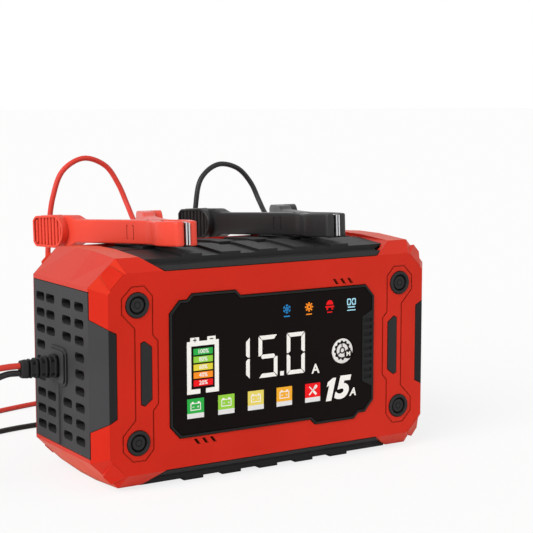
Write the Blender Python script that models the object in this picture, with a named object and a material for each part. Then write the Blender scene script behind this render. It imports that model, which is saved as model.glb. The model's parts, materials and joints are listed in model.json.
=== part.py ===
"""Car battery charger: a chamfered two-part case with a large display, black tread panels
above and below, vented side panels, and two leads that end in sprung battery clamps.

Frame: metres, +Z up, front of the case towards -Y. The origin is on the ground under the
middle of the case. Heights inside the case are written from its middle plane.
"""

import math

import bmesh
import bpy
from mathutils import Matrix, Vector

# ---------------------------------------------------------------- driving sizes
GAP = 0.0003                    # running gap between neighbouring pieces
SHARP_DEG = 35.0                # round pieces are shaded smooth below this angle

# case
CASE_WIDTH = 0.180
CASE_DEPTH = 0.070
CASE_HEIGHT = 0.100             # between the folds of the top and bottom, at the ends
CORNER_CHAMFER = 0.012
CASE_WALL = 0.0024
FACE_INSET = 0.006              # the front and back faces are smaller by this all round
TOP_BEVEL_DEPTH = 0.005
SIDE_BEVEL_DEPTH = 0.0072
CROWN = 0.0014                  # the top and bottom swell by this in the middle
CROWN_FLAT = 0.016
FOOT_PROUD = 0.0004             # the bottom plates stand this far below the crown

# tread panels
TREAD_WIDTH = 0.133
TREAD_FRONT_WIDTH = 0.113       # where the panel meets the front face
TREAD_STRIP = 0.0018            # flat border on the front bevel
PLATE_PITCH = 0.0099
PLATE_COUNT = 11
PLATE_FRONT = 0.0065            # from the front face back to the first row
PLATE_STEP = 0.0012             # every other plate is lower by this
PLATE_DROP = 0.0003             # the high plates lie this far below the crown
ROW_GROOVE = 0.0026
ROW_SHIFT = 0.0050              # the back row is offset sideways
FLANGE = 0.0013                 # inner flanges that hold panels and bezel in the case
FLANGE_REACH = 0.0020

# side panels
SIDE_PANEL_HEIGHT = 0.072
SIDE_PANEL_BACK = 0.0003        # gap to the fold of the rear cover
WING_FOLD_HALF = 0.0244         # half height of the wing where it leaves the side
WING_EDGE_HALF = 0.0202         # half height where it reaches the front face
WING_TIP_HALF = 0.0182
WING_TIP = 0.0096               # how far the wing reaches in from the side
VENT_WIDTH = 0.0092
VENT_HEIGHT = 0.0039
VENT_ROUND = 0.0013
VENT_PITCH = 0.00736
VENT_ROWS = 9
VENT_DROP = 0.0006              # the field of vents lies this far below the middle
VENT_OUTER_COLUMNS = (-0.0186, 0.0225)
VENT_INNER_COLUMNS = (-0.0056, 0.0116)
VENT_INNER_ROWS = 3
PORT_Y = 0.0030                 # middle of the cable entry and of the inlet
PORT_PLATE_WIDTH = 0.0186
PORT_PLATE_HEIGHT = 0.0170
PORT_PLATE_STEP = 0.0008
KEEL_PROUD = 0.0016
KEEL_WIDTH = 0.0022
KEEL_TOP_WIDTH = 0.0090

# display
DISPLAY_WIDTH = 0.1096
DISPLAY_HEIGHT = 0.0608
DISPLAY_CUT_X = 0.0048
DISPLAY_CUT_Z = 0.0054
TAB_FAR = 0.0463                # outer end of the two tabs, from the middle
TAB_NEAR = 0.0189
TAB_RISE = 0.0026
BEZEL_FRAME = 0.0010
BEZEL_PROUD = 0.0006
BEZEL_FLOOR = 0.0023
LENS_THICK = 0.0015
LENS_SUNK = 0.0003
RIB_INSET_DEPTH = 0.0066        # ribbed inset at the right edge of the bezel
RIB_INSET_HALF = 0.0154
RIB_INSET_SLOPE = 0.0029
LCD_LEFT = -0.0510
LCD_RIGHT = 0.0285
LCD_HALF_HEIGHT = 0.0265
LCD_THICK = 0.0030
DISPLAY_BOARD_LEFT = -0.0551
DISPLAY_BOARD_RIGHT = 0.0525
DISPLAY_BOARD_HALF_HEIGHT = 0.0285
BOARD_THICK = 0.0016
PEG_INSET = 0.0020
PEG_RADIUS = 0.0018
BUTTON_X = 0.0369
BUTTON_RADIUS = 0.0060
BUTTON_THICK = 0.0012
BUTTON_STEM_RADIUS = 0.0020
BUTTON_TRAVEL = 0.0005
SWITCH_SIZE = 0.0060
SWITCH_HEIGHT = 0.0026

# screws and their rubber caps
SCREW_X = 0.0703
SCREW_Z = 0.0300
CAP_RADIUS = 0.0054
CAP_PROUD = 0.0008
CAP_DEPTH = 0.0042
CAP_DISC_RADIUS = 0.0034
CAP_RING = 0.0014
BOSS_WALL = 0.0016
SCREW_HEAD_RADIUS = 0.0032
SCREW_HEAD_HEIGHT = 0.0028
SCREW_RADIUS = 0.0014
SCREW_LENGTH = 0.0360
POST_RADIUS = 0.0042
POST_MEETS = -0.0100            # where a front boss and a rear post meet

# decorations of the front face
SLOT_X = 0.0662
SLOT_WIDTH = 0.0050
SLOT_LENGTH = 0.0280
SLOT_DEPTH = 0.0014
LOUVRE_X = 0.0413
LOUVRE_Z = 0.0330
LOUVRE_PITCH = 0.0041
LOUVRE_WIDTH = 0.0016
LOUVRE_HEIGHT = 0.0026
LOUVRE_LEAN = 0.0020
GROOVE_WIDTH = 0.0006
GROOVE_DEPTH = 0.0005
# groove round each pair of screws and the slot between them, upper half, from the inside
GROOVE_HALF = (
    (0.0605, 0.0138),
    (0.0630, 0.0165),
    (0.0630, 0.0335),
    (0.0669, 0.0380),
    (0.0729, 0.0380),
    (0.0777, 0.0332),
    (0.0777, 0.0264),
    (0.0716, 0.0199),
)
LUG_PROUD = 0.0019              # height of a wedge at its outer edge
LUG_FACE_PROUD = 0.0003         # and where it meets the face
LUG_SUNK = 0.0008
LUG_OUTER = (0.46, 0.74)        # ends of a wedge along the strip, as shares of its length
LUG_INNER = (0.16, 0.92)
LUG_RAMP = 0.05
LUG_INNER_EDGE = 0.04
LUG_FRONT_EDGE = 0.10           # bare edge outside a wedge, as a share of the strip's width
LUG_REAR_EDGE = 0.17

# main board and what stands on it
BOARD_Y = 0.0230
BOARD_FROM_LEFT = 0.0270        # from the outside of the case to the board's edge
BOARD_FROM_RIGHT = 0.0330
BOARD_HALF_HEIGHT = 0.0380
STANDOFF_RADIUS = 0.0030
STANDOFF_INSET = 0.0050
BOARD_SCREW_RADIUS = 0.0011
BOARD_SCREW_HEAD = 0.0022
BOARD_SCREW_LENGTH = 0.0060
SINK_FROM_EDGE = 0.0160         # from the board's left edge to the middle of the sink
SINK_WIDTH = 0.0240
SINK_DEPTH = 0.0200
SINK_HALF_HEIGHT = 0.0230
SINK_BASE = 0.0040
SINK_FINS = 7
FIN_THICK = 0.0014
TRANSISTOR_THICK = 0.0045
TRANSISTOR_WIDTH = 0.0100
TRANSISTOR_HEIGHT = 0.0150
TRANSISTOR_PITCH = 0.0152
CORE_X = -0.0020
CORE_WIDTH = 0.0340
CORE_HEIGHT = 0.0340
CORE_DEPTH = 0.0220
CORE_LEG = 0.0070
COIL_STANDS = 0.0030            # the winding stands out of the core, front and back
CAPACITOR_X = 0.0270
CAPACITOR_RADIUS = 0.0080
CAPACITOR_LENGTH = 0.0280
CAPACITOR_SPACING = 0.0180
CAPACITOR_Z = 0.0100            # middle of the pair, above the case's middle
CHOKE_X = 0.0310
CHOKE_RADIUS = 0.0085
CHOKE_TUBE = 0.0036
CHOKE_BELOW = 0.0220

# fan
FAN_FROM_SIDE = 0.0230          # from the outside of the case to the middle of the fan
FAN_SIZE = 0.0400
FAN_THICK = 0.0100
FAN_BORE = 0.0186
FAN_TIP = 0.0178
FAN_HUB = 0.0085
FAN_BLADES = 7
BLADE_THICK = 0.0010
BLADE_SWEEP_ROOT = 0.42         # half the angle that a blade covers, in radians
BLADE_SWEEP_TIP = 0.30
STRUT_THICK = 0.0016
CRADLE_WALL = 0.0013
CRADLE_HALF_HEIGHT = 0.0070
CRADLE_REACH = 0.0060

# mains inlet, a two-pin appliance inlet
INLET_WIDTH = 0.0190
INLET_HEIGHT = 0.0125
INLET_PROUD = 0.0012
INLET_BODY = 0.0140
SOCKET_WIDTH = 0.0146
SOCKET_HEIGHT = 0.0076
SOCKET_DEPTH = 0.0105
INLET_PIN_SPACING = 0.0086
INLET_PIN_RADIUS = 0.0012
INLET_PIN_LENGTH = 0.0085

# strain relief
LEAD_RADIUS = 0.0014
LEAD_SPACING = 0.0032
LEAD_POINTS = 80
RELIEF_NECK_Y = 0.0034
RELIEF_NECK_Z = 0.0042
RELIEF_ROOT_Y = 0.0047
RELIEF_ROOT_Z = 0.0052
RELIEF_TIP_Y = 0.0026
RELIEF_TIP_Z = 0.0038
RELIEF_LENGTH = 0.0165
RELIEF_RIBS = 4
RELIEF_RIB_SHARE = 0.60         # of each pitch is rib, the rest is the groove
RELIEF_GROOVE = 0.0013
RELIEF_COLLAR = 0.0030
RELIEF_HEAD = 0.0016

# clamps
CLAMP_HEIGHT = 0.0110           # along the pivot
CLAMP_PIVOT_TO_TIP = 0.0285
CLAMP_TIP_X = {"red": -0.0430, "black": 0.0370}
CLAMP_TIP_Y = -0.0305
CLAMP_YAW_DEG = 1.3
ARM_EDGE = 0.0007
PAD_LENGTH = 0.0215
PAD_HEIGHT = 0.0160
PAD_PROUD = 0.0040
PAD_AHEAD = 0.0013              # the pad starts this far before the widest part of the arm
PAD_GROOVES = 8
PAD_GROOVE_DEPTH = 0.0011
PAD_RIM = 0.0012
NUB_LENGTH = 0.0060
NUB_ROOT = 0.0029
NUB_TIP = 0.0021
NUB_RINGS = 3
NUB_GROOVE = 0.0006
LEAD_STRAIGHT = 0.0060          # a lead runs straight for this far at either end
JAW_PLATE = 0.0007
JAW_LIP_GAP = 0.0006            # between the two steel lips when the clamp is shut
PIN_RADIUS = 0.0013
PIN_HEAD_RADIUS = 0.0024
PIN_HEAD = 0.0006
KNUCKLE_RADIUS = 0.0042
KNUCKLE_CLEAR = 0.0054          # room round the pivot for the other arm's knuckles and the spring
KNUCKLE_OUTER = 0.0015
KNUCKLE_INNER = 0.0012
SPRING_WIRE = 0.0004            # radius of the wire
SPRING_RADIUS = 0.0032
SPRING_PITCH = 0.00125
SPRING_LEG = 0.0120

# arm of a clamp, one station per row: distance behind the pivot, inner side, outer side,
# height as a share of CLAMP_HEIGHT
ARM_STATIONS = (
    (-0.0285, 0.00140, 0.0040, 0.94),
    (-0.0277, 0.00140, 0.0051, 1.0),
    (-0.0250, 0.00150, 0.0062, 1.0),
    (-0.0225, 0.00330, 0.0071, 1.0),
    (-0.0190, 0.00470, 0.0083, 1.0),
    (-0.0150, 0.00500, 0.0087, 1.0),
    (-0.0110, 0.00430, 0.0080, 1.0),
    (-0.0080, 0.00260, 0.0070, 1.0),
    (-0.0056, 0.00040, 0.0065, 1.0),
    (-0.0015, 0.00040, 0.0063, 1.0),
    (0.0015, 0.00045, 0.0068, 1.0),
    (0.0130, 0.00375, 0.0100, 1.0),
    (0.0240, 0.00720, 0.0138, 1.0),
    (0.0440, 0.01440, 0.0212, 1.0),
    (0.0500, 0.01640, 0.0234, 1.36),
    (0.0680, 0.02200, 0.0296, 1.36),
    (0.0715, 0.02340, 0.0296, 1.1),
)
# steel plate inside a jaw: distance behind the pivot and its outer side
JAW_STATIONS = (
    (-0.0293, 0.00100),
    (-0.0250, 0.00100),
    (-0.0225, 0.00285),
    (-0.0190, 0.00430),
    (-0.0150, 0.00460),
    (-0.0115, 0.00400),
)

# leads, route points from the strain relief to the clamp
RED_ROUTE = (
    (-0.1225, 0.0028, 0.0524),
    (-0.1340, 0.0040, 0.0458),
    (-0.1425, 0.0082, 0.0338),
    (-0.1475, 0.0155, 0.0205),
    (-0.1490, 0.0260, 0.0095),
    (-0.1500, 0.0390, 0.0040),
    (-0.1490, 0.0540, 0.0018),
    (-0.1430, 0.0740, 0.0015),
    (-0.1260, 0.1000, 0.0015),
    (-0.0900, 0.1300, 0.0015),
    (-0.0450, 0.1480, 0.0015),
    (0.0000, 0.1530, 0.0015),
    (0.0160, 0.1510, 0.0015),
    (0.0270, 0.1440, 0.0015),
    (0.0310, 0.1330, 0.0015),
    (0.0270, 0.1220, 0.0015),
    (0.0160, 0.1150, 0.0015),
    (0.0000, 0.1120, 0.0015),
    (-0.0150, 0.1110, 0.0022),
    (-0.0280, 0.1105, 0.0070),
    (-0.0380, 0.1100, 0.0160),
    (-0.0445, 0.1095, 0.0300),
    (-0.0480, 0.1088, 0.0500),
    (-0.0490, 0.1082, 0.0750),
    (-0.0485, 0.1077, 0.1000),
    (-0.0460, 0.1070, 0.1190),
    (-0.0405, 0.1063, 0.1325),
    (-0.0290, 0.1055, 0.1387),
    (-0.0170, 0.1045, 0.1345),
    (-0.0110, 0.1020, 0.1250),
    (-0.0080, 0.0975, 0.1140),
    (-0.0085, 0.0895, 0.1068),
)
BLACK_ROUTE = (
    (-0.1215, 0.0035, 0.0476),
    (-0.1297, 0.0056, 0.0395),
    (-0.1370, 0.0090, 0.0280),
    (-0.1410, 0.0160, 0.0165),
    (-0.1425, 0.0260, 0.0075),
    (-0.1420, 0.0380, 0.0033),
    (-0.1390, 0.0510, 0.0018),
    (-0.1300, 0.0670, 0.0015),
    (-0.1100, 0.0850, 0.0015),
    (-0.0760, 0.0990, 0.0015),
    (-0.0360, 0.1020, 0.0015),
    (-0.0080, 0.1010, 0.0017),
    (0.0090, 0.1002, 0.0040),
    (0.0215, 0.0992, 0.0105),
    (0.0285, 0.0988, 0.0220),
    (0.0320, 0.0985, 0.0400),
    (0.0330, 0.0985, 0.0650),
    (0.0330, 0.0988, 0.0900),
    (0.0342, 0.0992, 0.1110),
    (0.0382, 0.0998, 0.1265),
    (0.0490, 0.1002, 0.1338),
    (0.0612, 0.0998, 0.1315),
    (0.0688, 0.0983, 0.1235),
    (0.0720, 0.0945, 0.1135),
    (0.0716, 0.0882, 0.1075),
)

# ---------------------------------------------------------------- derived sizes
HALF_WIDTH = CASE_WIDTH / 2
HALF_HEIGHT = CASE_HEIGHT / 2
FRONT = -CASE_DEPTH / 2
BACK = CASE_DEPTH / 2
MID_Z = HALF_HEIGHT + CROWN + FOOT_PROUD
JOINT_Y = BACK - TOP_BEVEL_DEPTH
FOLD_Y = FRONT + SIDE_BEVEL_DEPTH
WALL_FRONT = FRONT + CASE_WALL
INNER_X = HALF_WIDTH - CASE_WALL
CORNERS = tuple((x, z) for x in (-SCREW_X, SCREW_X) for z in (-SCREW_Z, SCREW_Z))
BEZEL_FRONT = FRONT - BEZEL_PROUD
LENS_FRONT = BEZEL_FRONT + LENS_SUNK
LENS_BACK = LENS_FRONT + LENS_THICK
POCKET_FLOOR = LENS_BACK + GAP
BEZEL_BACK = POCKET_FLOOR + BEZEL_FLOOR
LCD_FRONT = BEZEL_BACK + GAP
LCD_BACK = LCD_FRONT + LCD_THICK
DISPLAY_BOARD_Y = LCD_BACK + GAP
COVER_FLOOR = BACK - CASE_WALL
PARTS_BACK = BOARD_Y - GAP      # back of everything that stands on the main board
BOARD_LEFT = BOARD_FROM_LEFT - HALF_WIDTH
BOARD_RIGHT = HALF_WIDTH - BOARD_FROM_RIGHT
SINK_X = BOARD_LEFT + SINK_FROM_EDGE
FAN_X = HALF_WIDTH - FAN_FROM_SIDE


# ---------------------------------------------------------------- tools
def clear_scene():
    for item in list(bpy.data.objects):
        bpy.data.objects.remove(item, do_unlink=True)


def material(name, colour, roughness, metallic=0.0):
    made = bpy.data.materials.get(name)
    if made is None:
        made = bpy.data.materials.new(name)
        made.use_nodes = True
        shader = made.node_tree.nodes["Principled BSDF"]
        shader.inputs["Base Color"].default_value = (*colour, 1.0)
        shader.inputs["Roughness"].default_value = roughness
        shader.inputs["Metallic"].default_value = metallic
    return made


def red_plastic():
    return material("red_plastic", (0.56, 0.02, 0.018), 0.45)


def black_plastic():
    return material("black_plastic", (0.018, 0.018, 0.018), 0.5)


def grey_plastic():
    return material("grey_plastic", (0.07, 0.07, 0.07), 0.6)


def steel():
    return material("steel", (0.55, 0.55, 0.56), 0.3, 1.0)


def board_green():
    return material("board_green", (0.02, 0.12, 0.05), 0.6)


def finish(name, mesh, look=None, parent=None):
    """Close the mesh, turn its faces outwards and put it in the scene."""
    quads = [face for face in mesh.faces if len(face.verts) == 4]
    bmesh.ops.connect_verts_nonplanar(mesh, angle_limit=0.001, faces=quads)
    bmesh.ops.recalc_face_normals(mesh, faces=mesh.faces)
    data = bpy.data.meshes.new(name)
    mesh.to_mesh(data)
    mesh.free()
    made = bpy.data.objects.new(name, data)
    bpy.context.scene.collection.objects.link(made)
    if look is not None:
        data.materials.append(look)
    made.parent = parent
    return made


def rounded_off(made):
    """Smooth shading for a turned piece; its edges stay sharp."""
    made.data.shade_smooth()
    made.data.set_sharp_from_angle(angle=math.radians(SHARP_DEG))
    return made


def finish_cutter(name, mesh, parent=None):
    made = finish(name, mesh, parent=parent)
    made.hide_render = True
    made.display_type = "WIRE"
    return made


def boolean(target, tool, operation):
    step = target.modifiers.new(operation.lower(), "BOOLEAN")
    step.operation = operation
    step.solver = "EXACT"
    step.object = tool


def add_loft(mesh, rings):
    """A closed body through rings of the same number of points."""
    rows = [[mesh.verts.new(point) for point in ring] for ring in rings]
    count = len(rows[0])
    for near, far in zip(rows, rows[1:]):
        for i in range(count):
            j = (i + 1) % count
            mesh.faces.new((near[i], near[j], far[j], far[i]))
    mesh.faces.new(rows[0])
    mesh.faces.new(list(reversed(rows[-1])))
    return rows


def placed(axis, a, b, along):
    """A point from two outline coordinates and the distance along the axis."""
    if axis == "X":
        return (along, a, b)
    if axis == "Y":
        return (a, along, b)
    return (a, b, along)


def add_prism(mesh, outline, axis, low, high):
    rings = [[placed(axis, a, b, along) for a, b in outline] for along in (low, high)]
    add_loft(mesh, rings)


def add_box(mesh, x, y, z):
    outline = [(x[0], y[0]), (x[1], y[0]), (x[1], y[1]), (x[0], y[1])]
    add_prism(mesh, outline, "Z", z[0], z[1])


def circle(middle, radius, sides, turn=0.0):
    points = []
    for i in range(sides):
        angle = turn + 2 * math.pi * i / sides
        points.append((middle[0] + radius * math.cos(angle), middle[1] + radius * math.sin(angle)))
    return points


def add_turned(mesh, middle, axis, profile, sides):
    """A body turned about the axis: profile rows are (distance along, radius)."""
    rings = []
    for along, radius in profile:
        ring = circle(middle, radius, sides)
        rings.append([placed(axis, a, b, along) for a, b in ring])
    add_loft(mesh, rings)


def rounded(half_a, half_b, radius, steps, middle=(0.0, 0.0)):
    """Outline of a rectangle with round corners."""
    points = []
    corners = ((1, 1, 0), (-1, 1, 90), (-1, -1, 180), (1, -1, 270))
    for sign_a, sign_b, start in corners:
        for i in range(steps + 1):
            angle = math.radians(start + 90 * i / steps)
            a = middle[0] + sign_a * (half_a - radius) + radius * math.cos(angle)
            b = middle[1] + sign_b * (half_b - radius) + radius * math.sin(angle)
            points.append((a, b))
    return points


def offset(outline, distance):
    """The outline moved outwards by a distance, for an anticlockwise outline."""
    moved = []
    count = len(outline)
    for i in range(count):
        before = Vector(outline[i - 1])
        here = Vector(outline[i])
        after = Vector(outline[(i + 1) % count])
        first = (here - before).normalized()
        second = (after - here).normalized()
        normal_1 = Vector((first.y, -first.x))
        normal_2 = Vector((second.y, -second.x))
        mitre = (normal_1 + normal_2).normalized()
        reach = distance / max(mitre.dot(normal_1), 0.3)
        moved.append(tuple(here + mitre * reach))
    return moved


def raised(outline):
    """Outline heights are written from the case's middle plane."""
    return [(a, MID_Z + b) for a, b in outline]


# ---------------------------------------------------------------- case
def case_ring(inset, side_y, top_y, crown):
    """Eight points round the case: the sides may lie at another depth than the top."""
    a = HALF_WIDTH - inset
    b = HALF_HEIGHT - inset
    cut = CORNER_CHAMFER - inset * (2 - math.sqrt(2))
    side = b - cut
    flat = a - cut
    top = b + crown
    return [
        (a, side_y, MID_Z - side), (a, side_y, MID_Z + side),
        (flat, top_y, MID_Z + top), (-flat, top_y, MID_Z + top),
        (-a, side_y, MID_Z + side), (-a, side_y, MID_Z - side),
        (-flat, top_y, MID_Z - top), (flat, top_y, MID_Z - top),
    ]


def crown_at(y):
    """How far the top has swollen at a depth y."""
    rise = (JOINT_Y - abs(y)) / (JOINT_Y - CROWN_FLAT / 2)
    return CROWN * min(1.0, rise)


def shell_rings(inset, face_y, face_inset, fold_shift, joint_y):
    half_flat = CROWN_FLAT / 2
    front_fold = FRONT + TOP_BEVEL_DEPTH + fold_shift
    return [
        case_ring(face_inset, face_y, face_y, 0.0),
        case_ring(inset, FOLD_Y + fold_shift, front_fold, 0.0),
        case_ring(inset, -half_flat, -half_flat, CROWN),
        case_ring(inset, half_flat, half_flat, CROWN),
        case_ring(inset, joint_y, joint_y, 0.0),
    ]


def add_skin(mesh):
    """The whole wall of the front part, open at the back."""
    joint = JOINT_Y - GAP / 2
    outer = shell_rings(0.0, FRONT, FACE_INSET, 0.0, joint)
    inner_inset = FACE_INSET + CASE_WALL * 0.4
    inner = shell_rings(CASE_WALL, WALL_FRONT, inner_inset, CASE_WALL * 0.25, joint)
    add_loft(mesh, outer + inner[::-1])


def lug(mesh, sign_x, sign_z, sign_y, rings, edge_share):
    """A wedge on the strip between a corner chamfer and a face; its top faces more forward
    than the strip, and it is longer towards the face."""
    fold, face = rings
    first, second = (1, 2) if sign_z > 0 else (0, 7)
    rows = []
    for ring in (fold, face):
        low = Vector(ring[first])
        high = Vector(ring[second])
        low.x *= sign_x
        high.x *= sign_x
        rows.append((low, high))
    along = rows[0][1] - rows[0][0]
    across = rows[1][0] - rows[0][0]
    normal = along.cross(across).normalized()
    if normal.y * sign_y < 0:
        normal = -normal
    sunk = normal * -LUG_SUNK
    wedge = []
    for end, raised_end in ((0, False), (0, True), (1, True), (1, False)):
        ramp = 0.0 if raised_end else LUG_RAMP * (2 * end - 1)
        outer = rows[0][0].lerp(rows[0][1], LUG_OUTER[end] + ramp)
        inner = rows[1][0].lerp(rows[1][1], LUG_INNER[end] + ramp)
        span = inner - outer
        start = outer + span * edge_share
        stop = inner - span * LUG_INNER_EDGE
        lift = (LUG_PROUD, LUG_FACE_PROUD) if raised_end else (-LUG_SUNK / 2, -LUG_SUNK / 2)
        wedge.append([start + normal * lift[0], stop + normal * lift[1], stop + sunk, start + sunk])
    add_loft(mesh, wedge)


def add_front_lugs(mesh):
    fold = case_ring(0.0, FOLD_Y, FRONT + TOP_BEVEL_DEPTH, 0.0)
    face = case_ring(FACE_INSET, FRONT, FRONT, 0.0)
    for sign_x in (-1, 1):
        for sign_z in (-1, 1):
            lug(mesh, sign_x, sign_z, -1, (fold, face), LUG_FRONT_EDGE)


def add_rear_lugs(mesh):
    fold = case_ring(0.0, JOINT_Y, JOINT_Y, 0.0)
    face = case_ring(FACE_INSET, BACK, BACK, 0.0)
    for sign_x in (-1, 1):
        for sign_z in (-1, 1):
            lug(mesh, sign_x, sign_z, 1, (fold, face), LUG_REAR_EDGE)


def side_field(sign, grow):
    """Two prisms that together cover a side panel: its side, and its wing round the front."""
    half = SIDE_PANEL_HEIGHT / 2 + grow
    far = HALF_WIDTH + 0.01
    near = HALF_WIDTH - 0.012
    side = bmesh.new()
    y = (FOLD_Y - grow, JOINT_Y - SIDE_PANEL_BACK - GAP + grow)
    add_box(side, sorted((sign * near, sign * far)), y, (MID_Z - half, MID_Z + half))
    wing = bmesh.new()
    outline = [
        (HALF_WIDTH + 0.002, WING_FOLD_HALF + 0.0014 + grow),
        (HALF_WIDTH, WING_FOLD_HALF + grow),
        (HALF_WIDTH - FACE_INSET, WING_EDGE_HALF + grow),
        (HALF_WIDTH - WING_TIP - grow, WING_TIP_HALF + grow),
    ]
    outline = outline + [(x, -z) for x, z in reversed(outline)]
    outline = [(sign * x, MID_Z + z) for x, z in outline]
    add_prism(wing, outline, "Y", FRONT - 0.01, FOLD_Y + 0.002)
    label = "left" if sign < 0 else "right"
    kind = "hole" if grow > 0 else "field"
    field = finish_cutter("cut_side_%s_%s" % (label, kind), side)
    tool = finish_cutter("cut_wing_%s_%s" % (label, kind), wing)
    boolean(field, tool, "UNION")
    return field


def tread_outline(up, grow):
    """Front view of a tread panel's place: it narrows down the front bevel."""
    face_edge = HALF_HEIGHT - FACE_INSET
    half = TREAD_WIDTH / 2 + grow
    front_half = TREAD_FRONT_WIDTH / 2 + grow
    outline = [
        (-front_half, face_edge - grow), (front_half, face_edge - grow),
        (half, HALF_HEIGHT), (half, HALF_HEIGHT + 0.01),
        (-half, HALF_HEIGHT + 0.01), (-half, HALF_HEIGHT),
    ]
    return [(x, MID_Z + up * z) for x, z in outline]


def display_outline():
    """Bezel outline, anticlockwise in X and Z, the same when turned half round."""
    a = DISPLAY_WIDTH / 2
    b = DISPLAY_HEIGHT / 2
    half = [
        (a, -b + DISPLAY_CUT_Z), (a, b - DISPLAY_CUT_Z), (a - DISPLAY_CUT_X, b),
        (-TAB_NEAR, b), (-TAB_NEAR - TAB_RISE, b + TAB_RISE),
        (-TAB_FAR + TAB_RISE, b + TAB_RISE), (-TAB_FAR, b), (-a + DISPLAY_CUT_X, b),
    ]
    return half + [(-x, -z) for x, z in half]


def lens_outline(inset):
    """The lens leaves room for the ribbed inset at its right edge."""
    outline = offset(display_outline(), -inset)
    right = max(x for x, z in outline)
    reach = right - (RIB_INSET_DEPTH - BEZEL_FRAME)
    notch = [
        (right, -RIB_INSET_HALF - RIB_INSET_SLOPE), (reach, -RIB_INSET_HALF),
        (reach, RIB_INSET_HALF), (right, RIB_INSET_HALF + RIB_INSET_SLOPE),
    ]
    return [outline[0]] + notch + outline[1:]


def louvre(x, z):
    half = LOUVRE_WIDTH / 2
    lean = LOUVRE_LEAN / 2
    tall = LOUVRE_HEIGHT / 2
    return [
        (x - half + lean, z - tall), (x + half + lean, z - tall),
        (x + half - lean, z + tall), (x - half - lean, z + tall),
    ]


def slot_outline(sign, grow):
    half = SLOT_WIDTH / 2 + grow
    tall = SLOT_LENGTH / 2 + grow
    cut = SLOT_WIDTH * 0.55
    outer = [(SLOT_X + half, tall - 0.3 * cut), (SLOT_X + 0.3 * half, tall), (SLOT_X - half, tall - cut)]
    outline = outer + [(x, -z) for x, z in reversed(outer)]
    return [(sign * x, MID_Z + z) for x, z in outline]


def add_groove(mesh, sign):
    """Ring that cuts the groove round one pair of screws."""
    upper = list(reversed(GROOVE_HALF))
    middle = upper + [(x, -z) for x, z in reversed(upper)]
    outer = offset(middle, GROOVE_WIDTH / 2)
    inner = offset(middle, -GROOVE_WIDTH / 2)
    rows = []
    for outline in (outer, inner):
        for y in (FRONT - 0.002, FRONT + GROOVE_DEPTH):
            rows.append([mesh.verts.new((sign * x, y, MID_Z + z)) for x, z in outline])
    count = len(middle)
    for near, far in ((0, 1), (1, 3), (3, 2), (2, 0)):
        for i in range(count):
            j = (i + 1) % count
            mesh.faces.new((rows[near][i], rows[near][j], rows[far][j], rows[far][i]))


def front_shell():
    skin = bmesh.new()
    add_skin(skin)
    shell = finish("front_shell", skin, red_plastic())

    added = bmesh.new()
    add_front_lugs(added)
    bosses = bmesh.new()
    boss_radius = CAP_RADIUS + GAP + BOSS_WALL
    head_floor = FRONT + CAP_DEPTH + GAP + SCREW_HEAD_HEIGHT + 2 * GAP
    for x, z in CORNERS:
        middle = (x, MID_Z + z)
        profile = [(WALL_FRONT - 0.001, boss_radius), (head_floor + BOSS_WALL, boss_radius),
                   (head_floor + BOSS_WALL, POST_RADIUS), (POST_MEETS - GAP, POST_RADIUS)]
        add_turned(bosses, middle, "Y", profile, 14)
    boolean(shell, finish_cutter("add_front_lugs", added), "UNION")
    boolean(shell, finish_cutter("add_front_bosses", bosses), "UNION")

    cuts = bmesh.new()
    add_prism(cuts, raised(offset(display_outline(), GAP)), "Y", FRONT - 0.005, WALL_FRONT + 0.002)
    bores = bmesh.new()
    for x, z in CORNERS:
        middle = (x, MID_Z + z)
        recess_floor = FRONT + CAP_DEPTH + GAP
        profile = [(FRONT - 0.005, CAP_RADIUS + GAP), (recess_floor, CAP_RADIUS + GAP)]
        add_turned(cuts, middle, "Y", profile, 20)
        profile = [(recess_floor - 0.001, SCREW_HEAD_RADIUS + GAP), (head_floor, SCREW_HEAD_RADIUS + GAP),
                   (head_floor, SCREW_RADIUS + GAP), (POST_MEETS + 0.002, SCREW_RADIUS + GAP)]
        add_turned(bores, middle, "Y", profile, 12)
    boolean(shell, finish_cutter("cut_front_bores", bores), "DIFFERENCE")
    for i in (-1, 0, 1):
        shift = i * LOUVRE_PITCH
        upper = raised(louvre(LOUVRE_X - LOUVRE_PITCH + shift, LOUVRE_Z))
        lower = raised(louvre(-LOUVRE_X + LOUVRE_PITCH + shift, -LOUVRE_Z))
        add_prism(cuts, upper, "Y", FRONT - 0.005, WALL_FRONT + 0.002)
        add_prism(cuts, lower, "Y", FRONT - 0.005, WALL_FRONT + 0.002)
    for sign in (-1, 1):
        add_prism(cuts, slot_outline(sign, GAP), "Y", FRONT - 0.005, FRONT + SLOT_DEPTH)
    boolean(shell, finish_cutter("cut_front", cuts), "DIFFERENCE")
    grooves = bmesh.new()
    for sign in (-1, 1):
        add_groove(grooves, sign)
    boolean(shell, finish_cutter("cut_grooves", grooves), "DIFFERENCE")

    treads = bmesh.new()
    for up in (-1, 1):
        add_prism(treads, tread_outline(up, GAP), "Y", FRONT - 0.005, JOINT_Y - SIDE_PANEL_BACK)
    boolean(shell, finish_cutter("cut_treads", treads), "DIFFERENCE")
    for sign in (-1, 1):
        boolean(shell, side_field(sign, GAP), "DIFFERENCE")
    return shell


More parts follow.
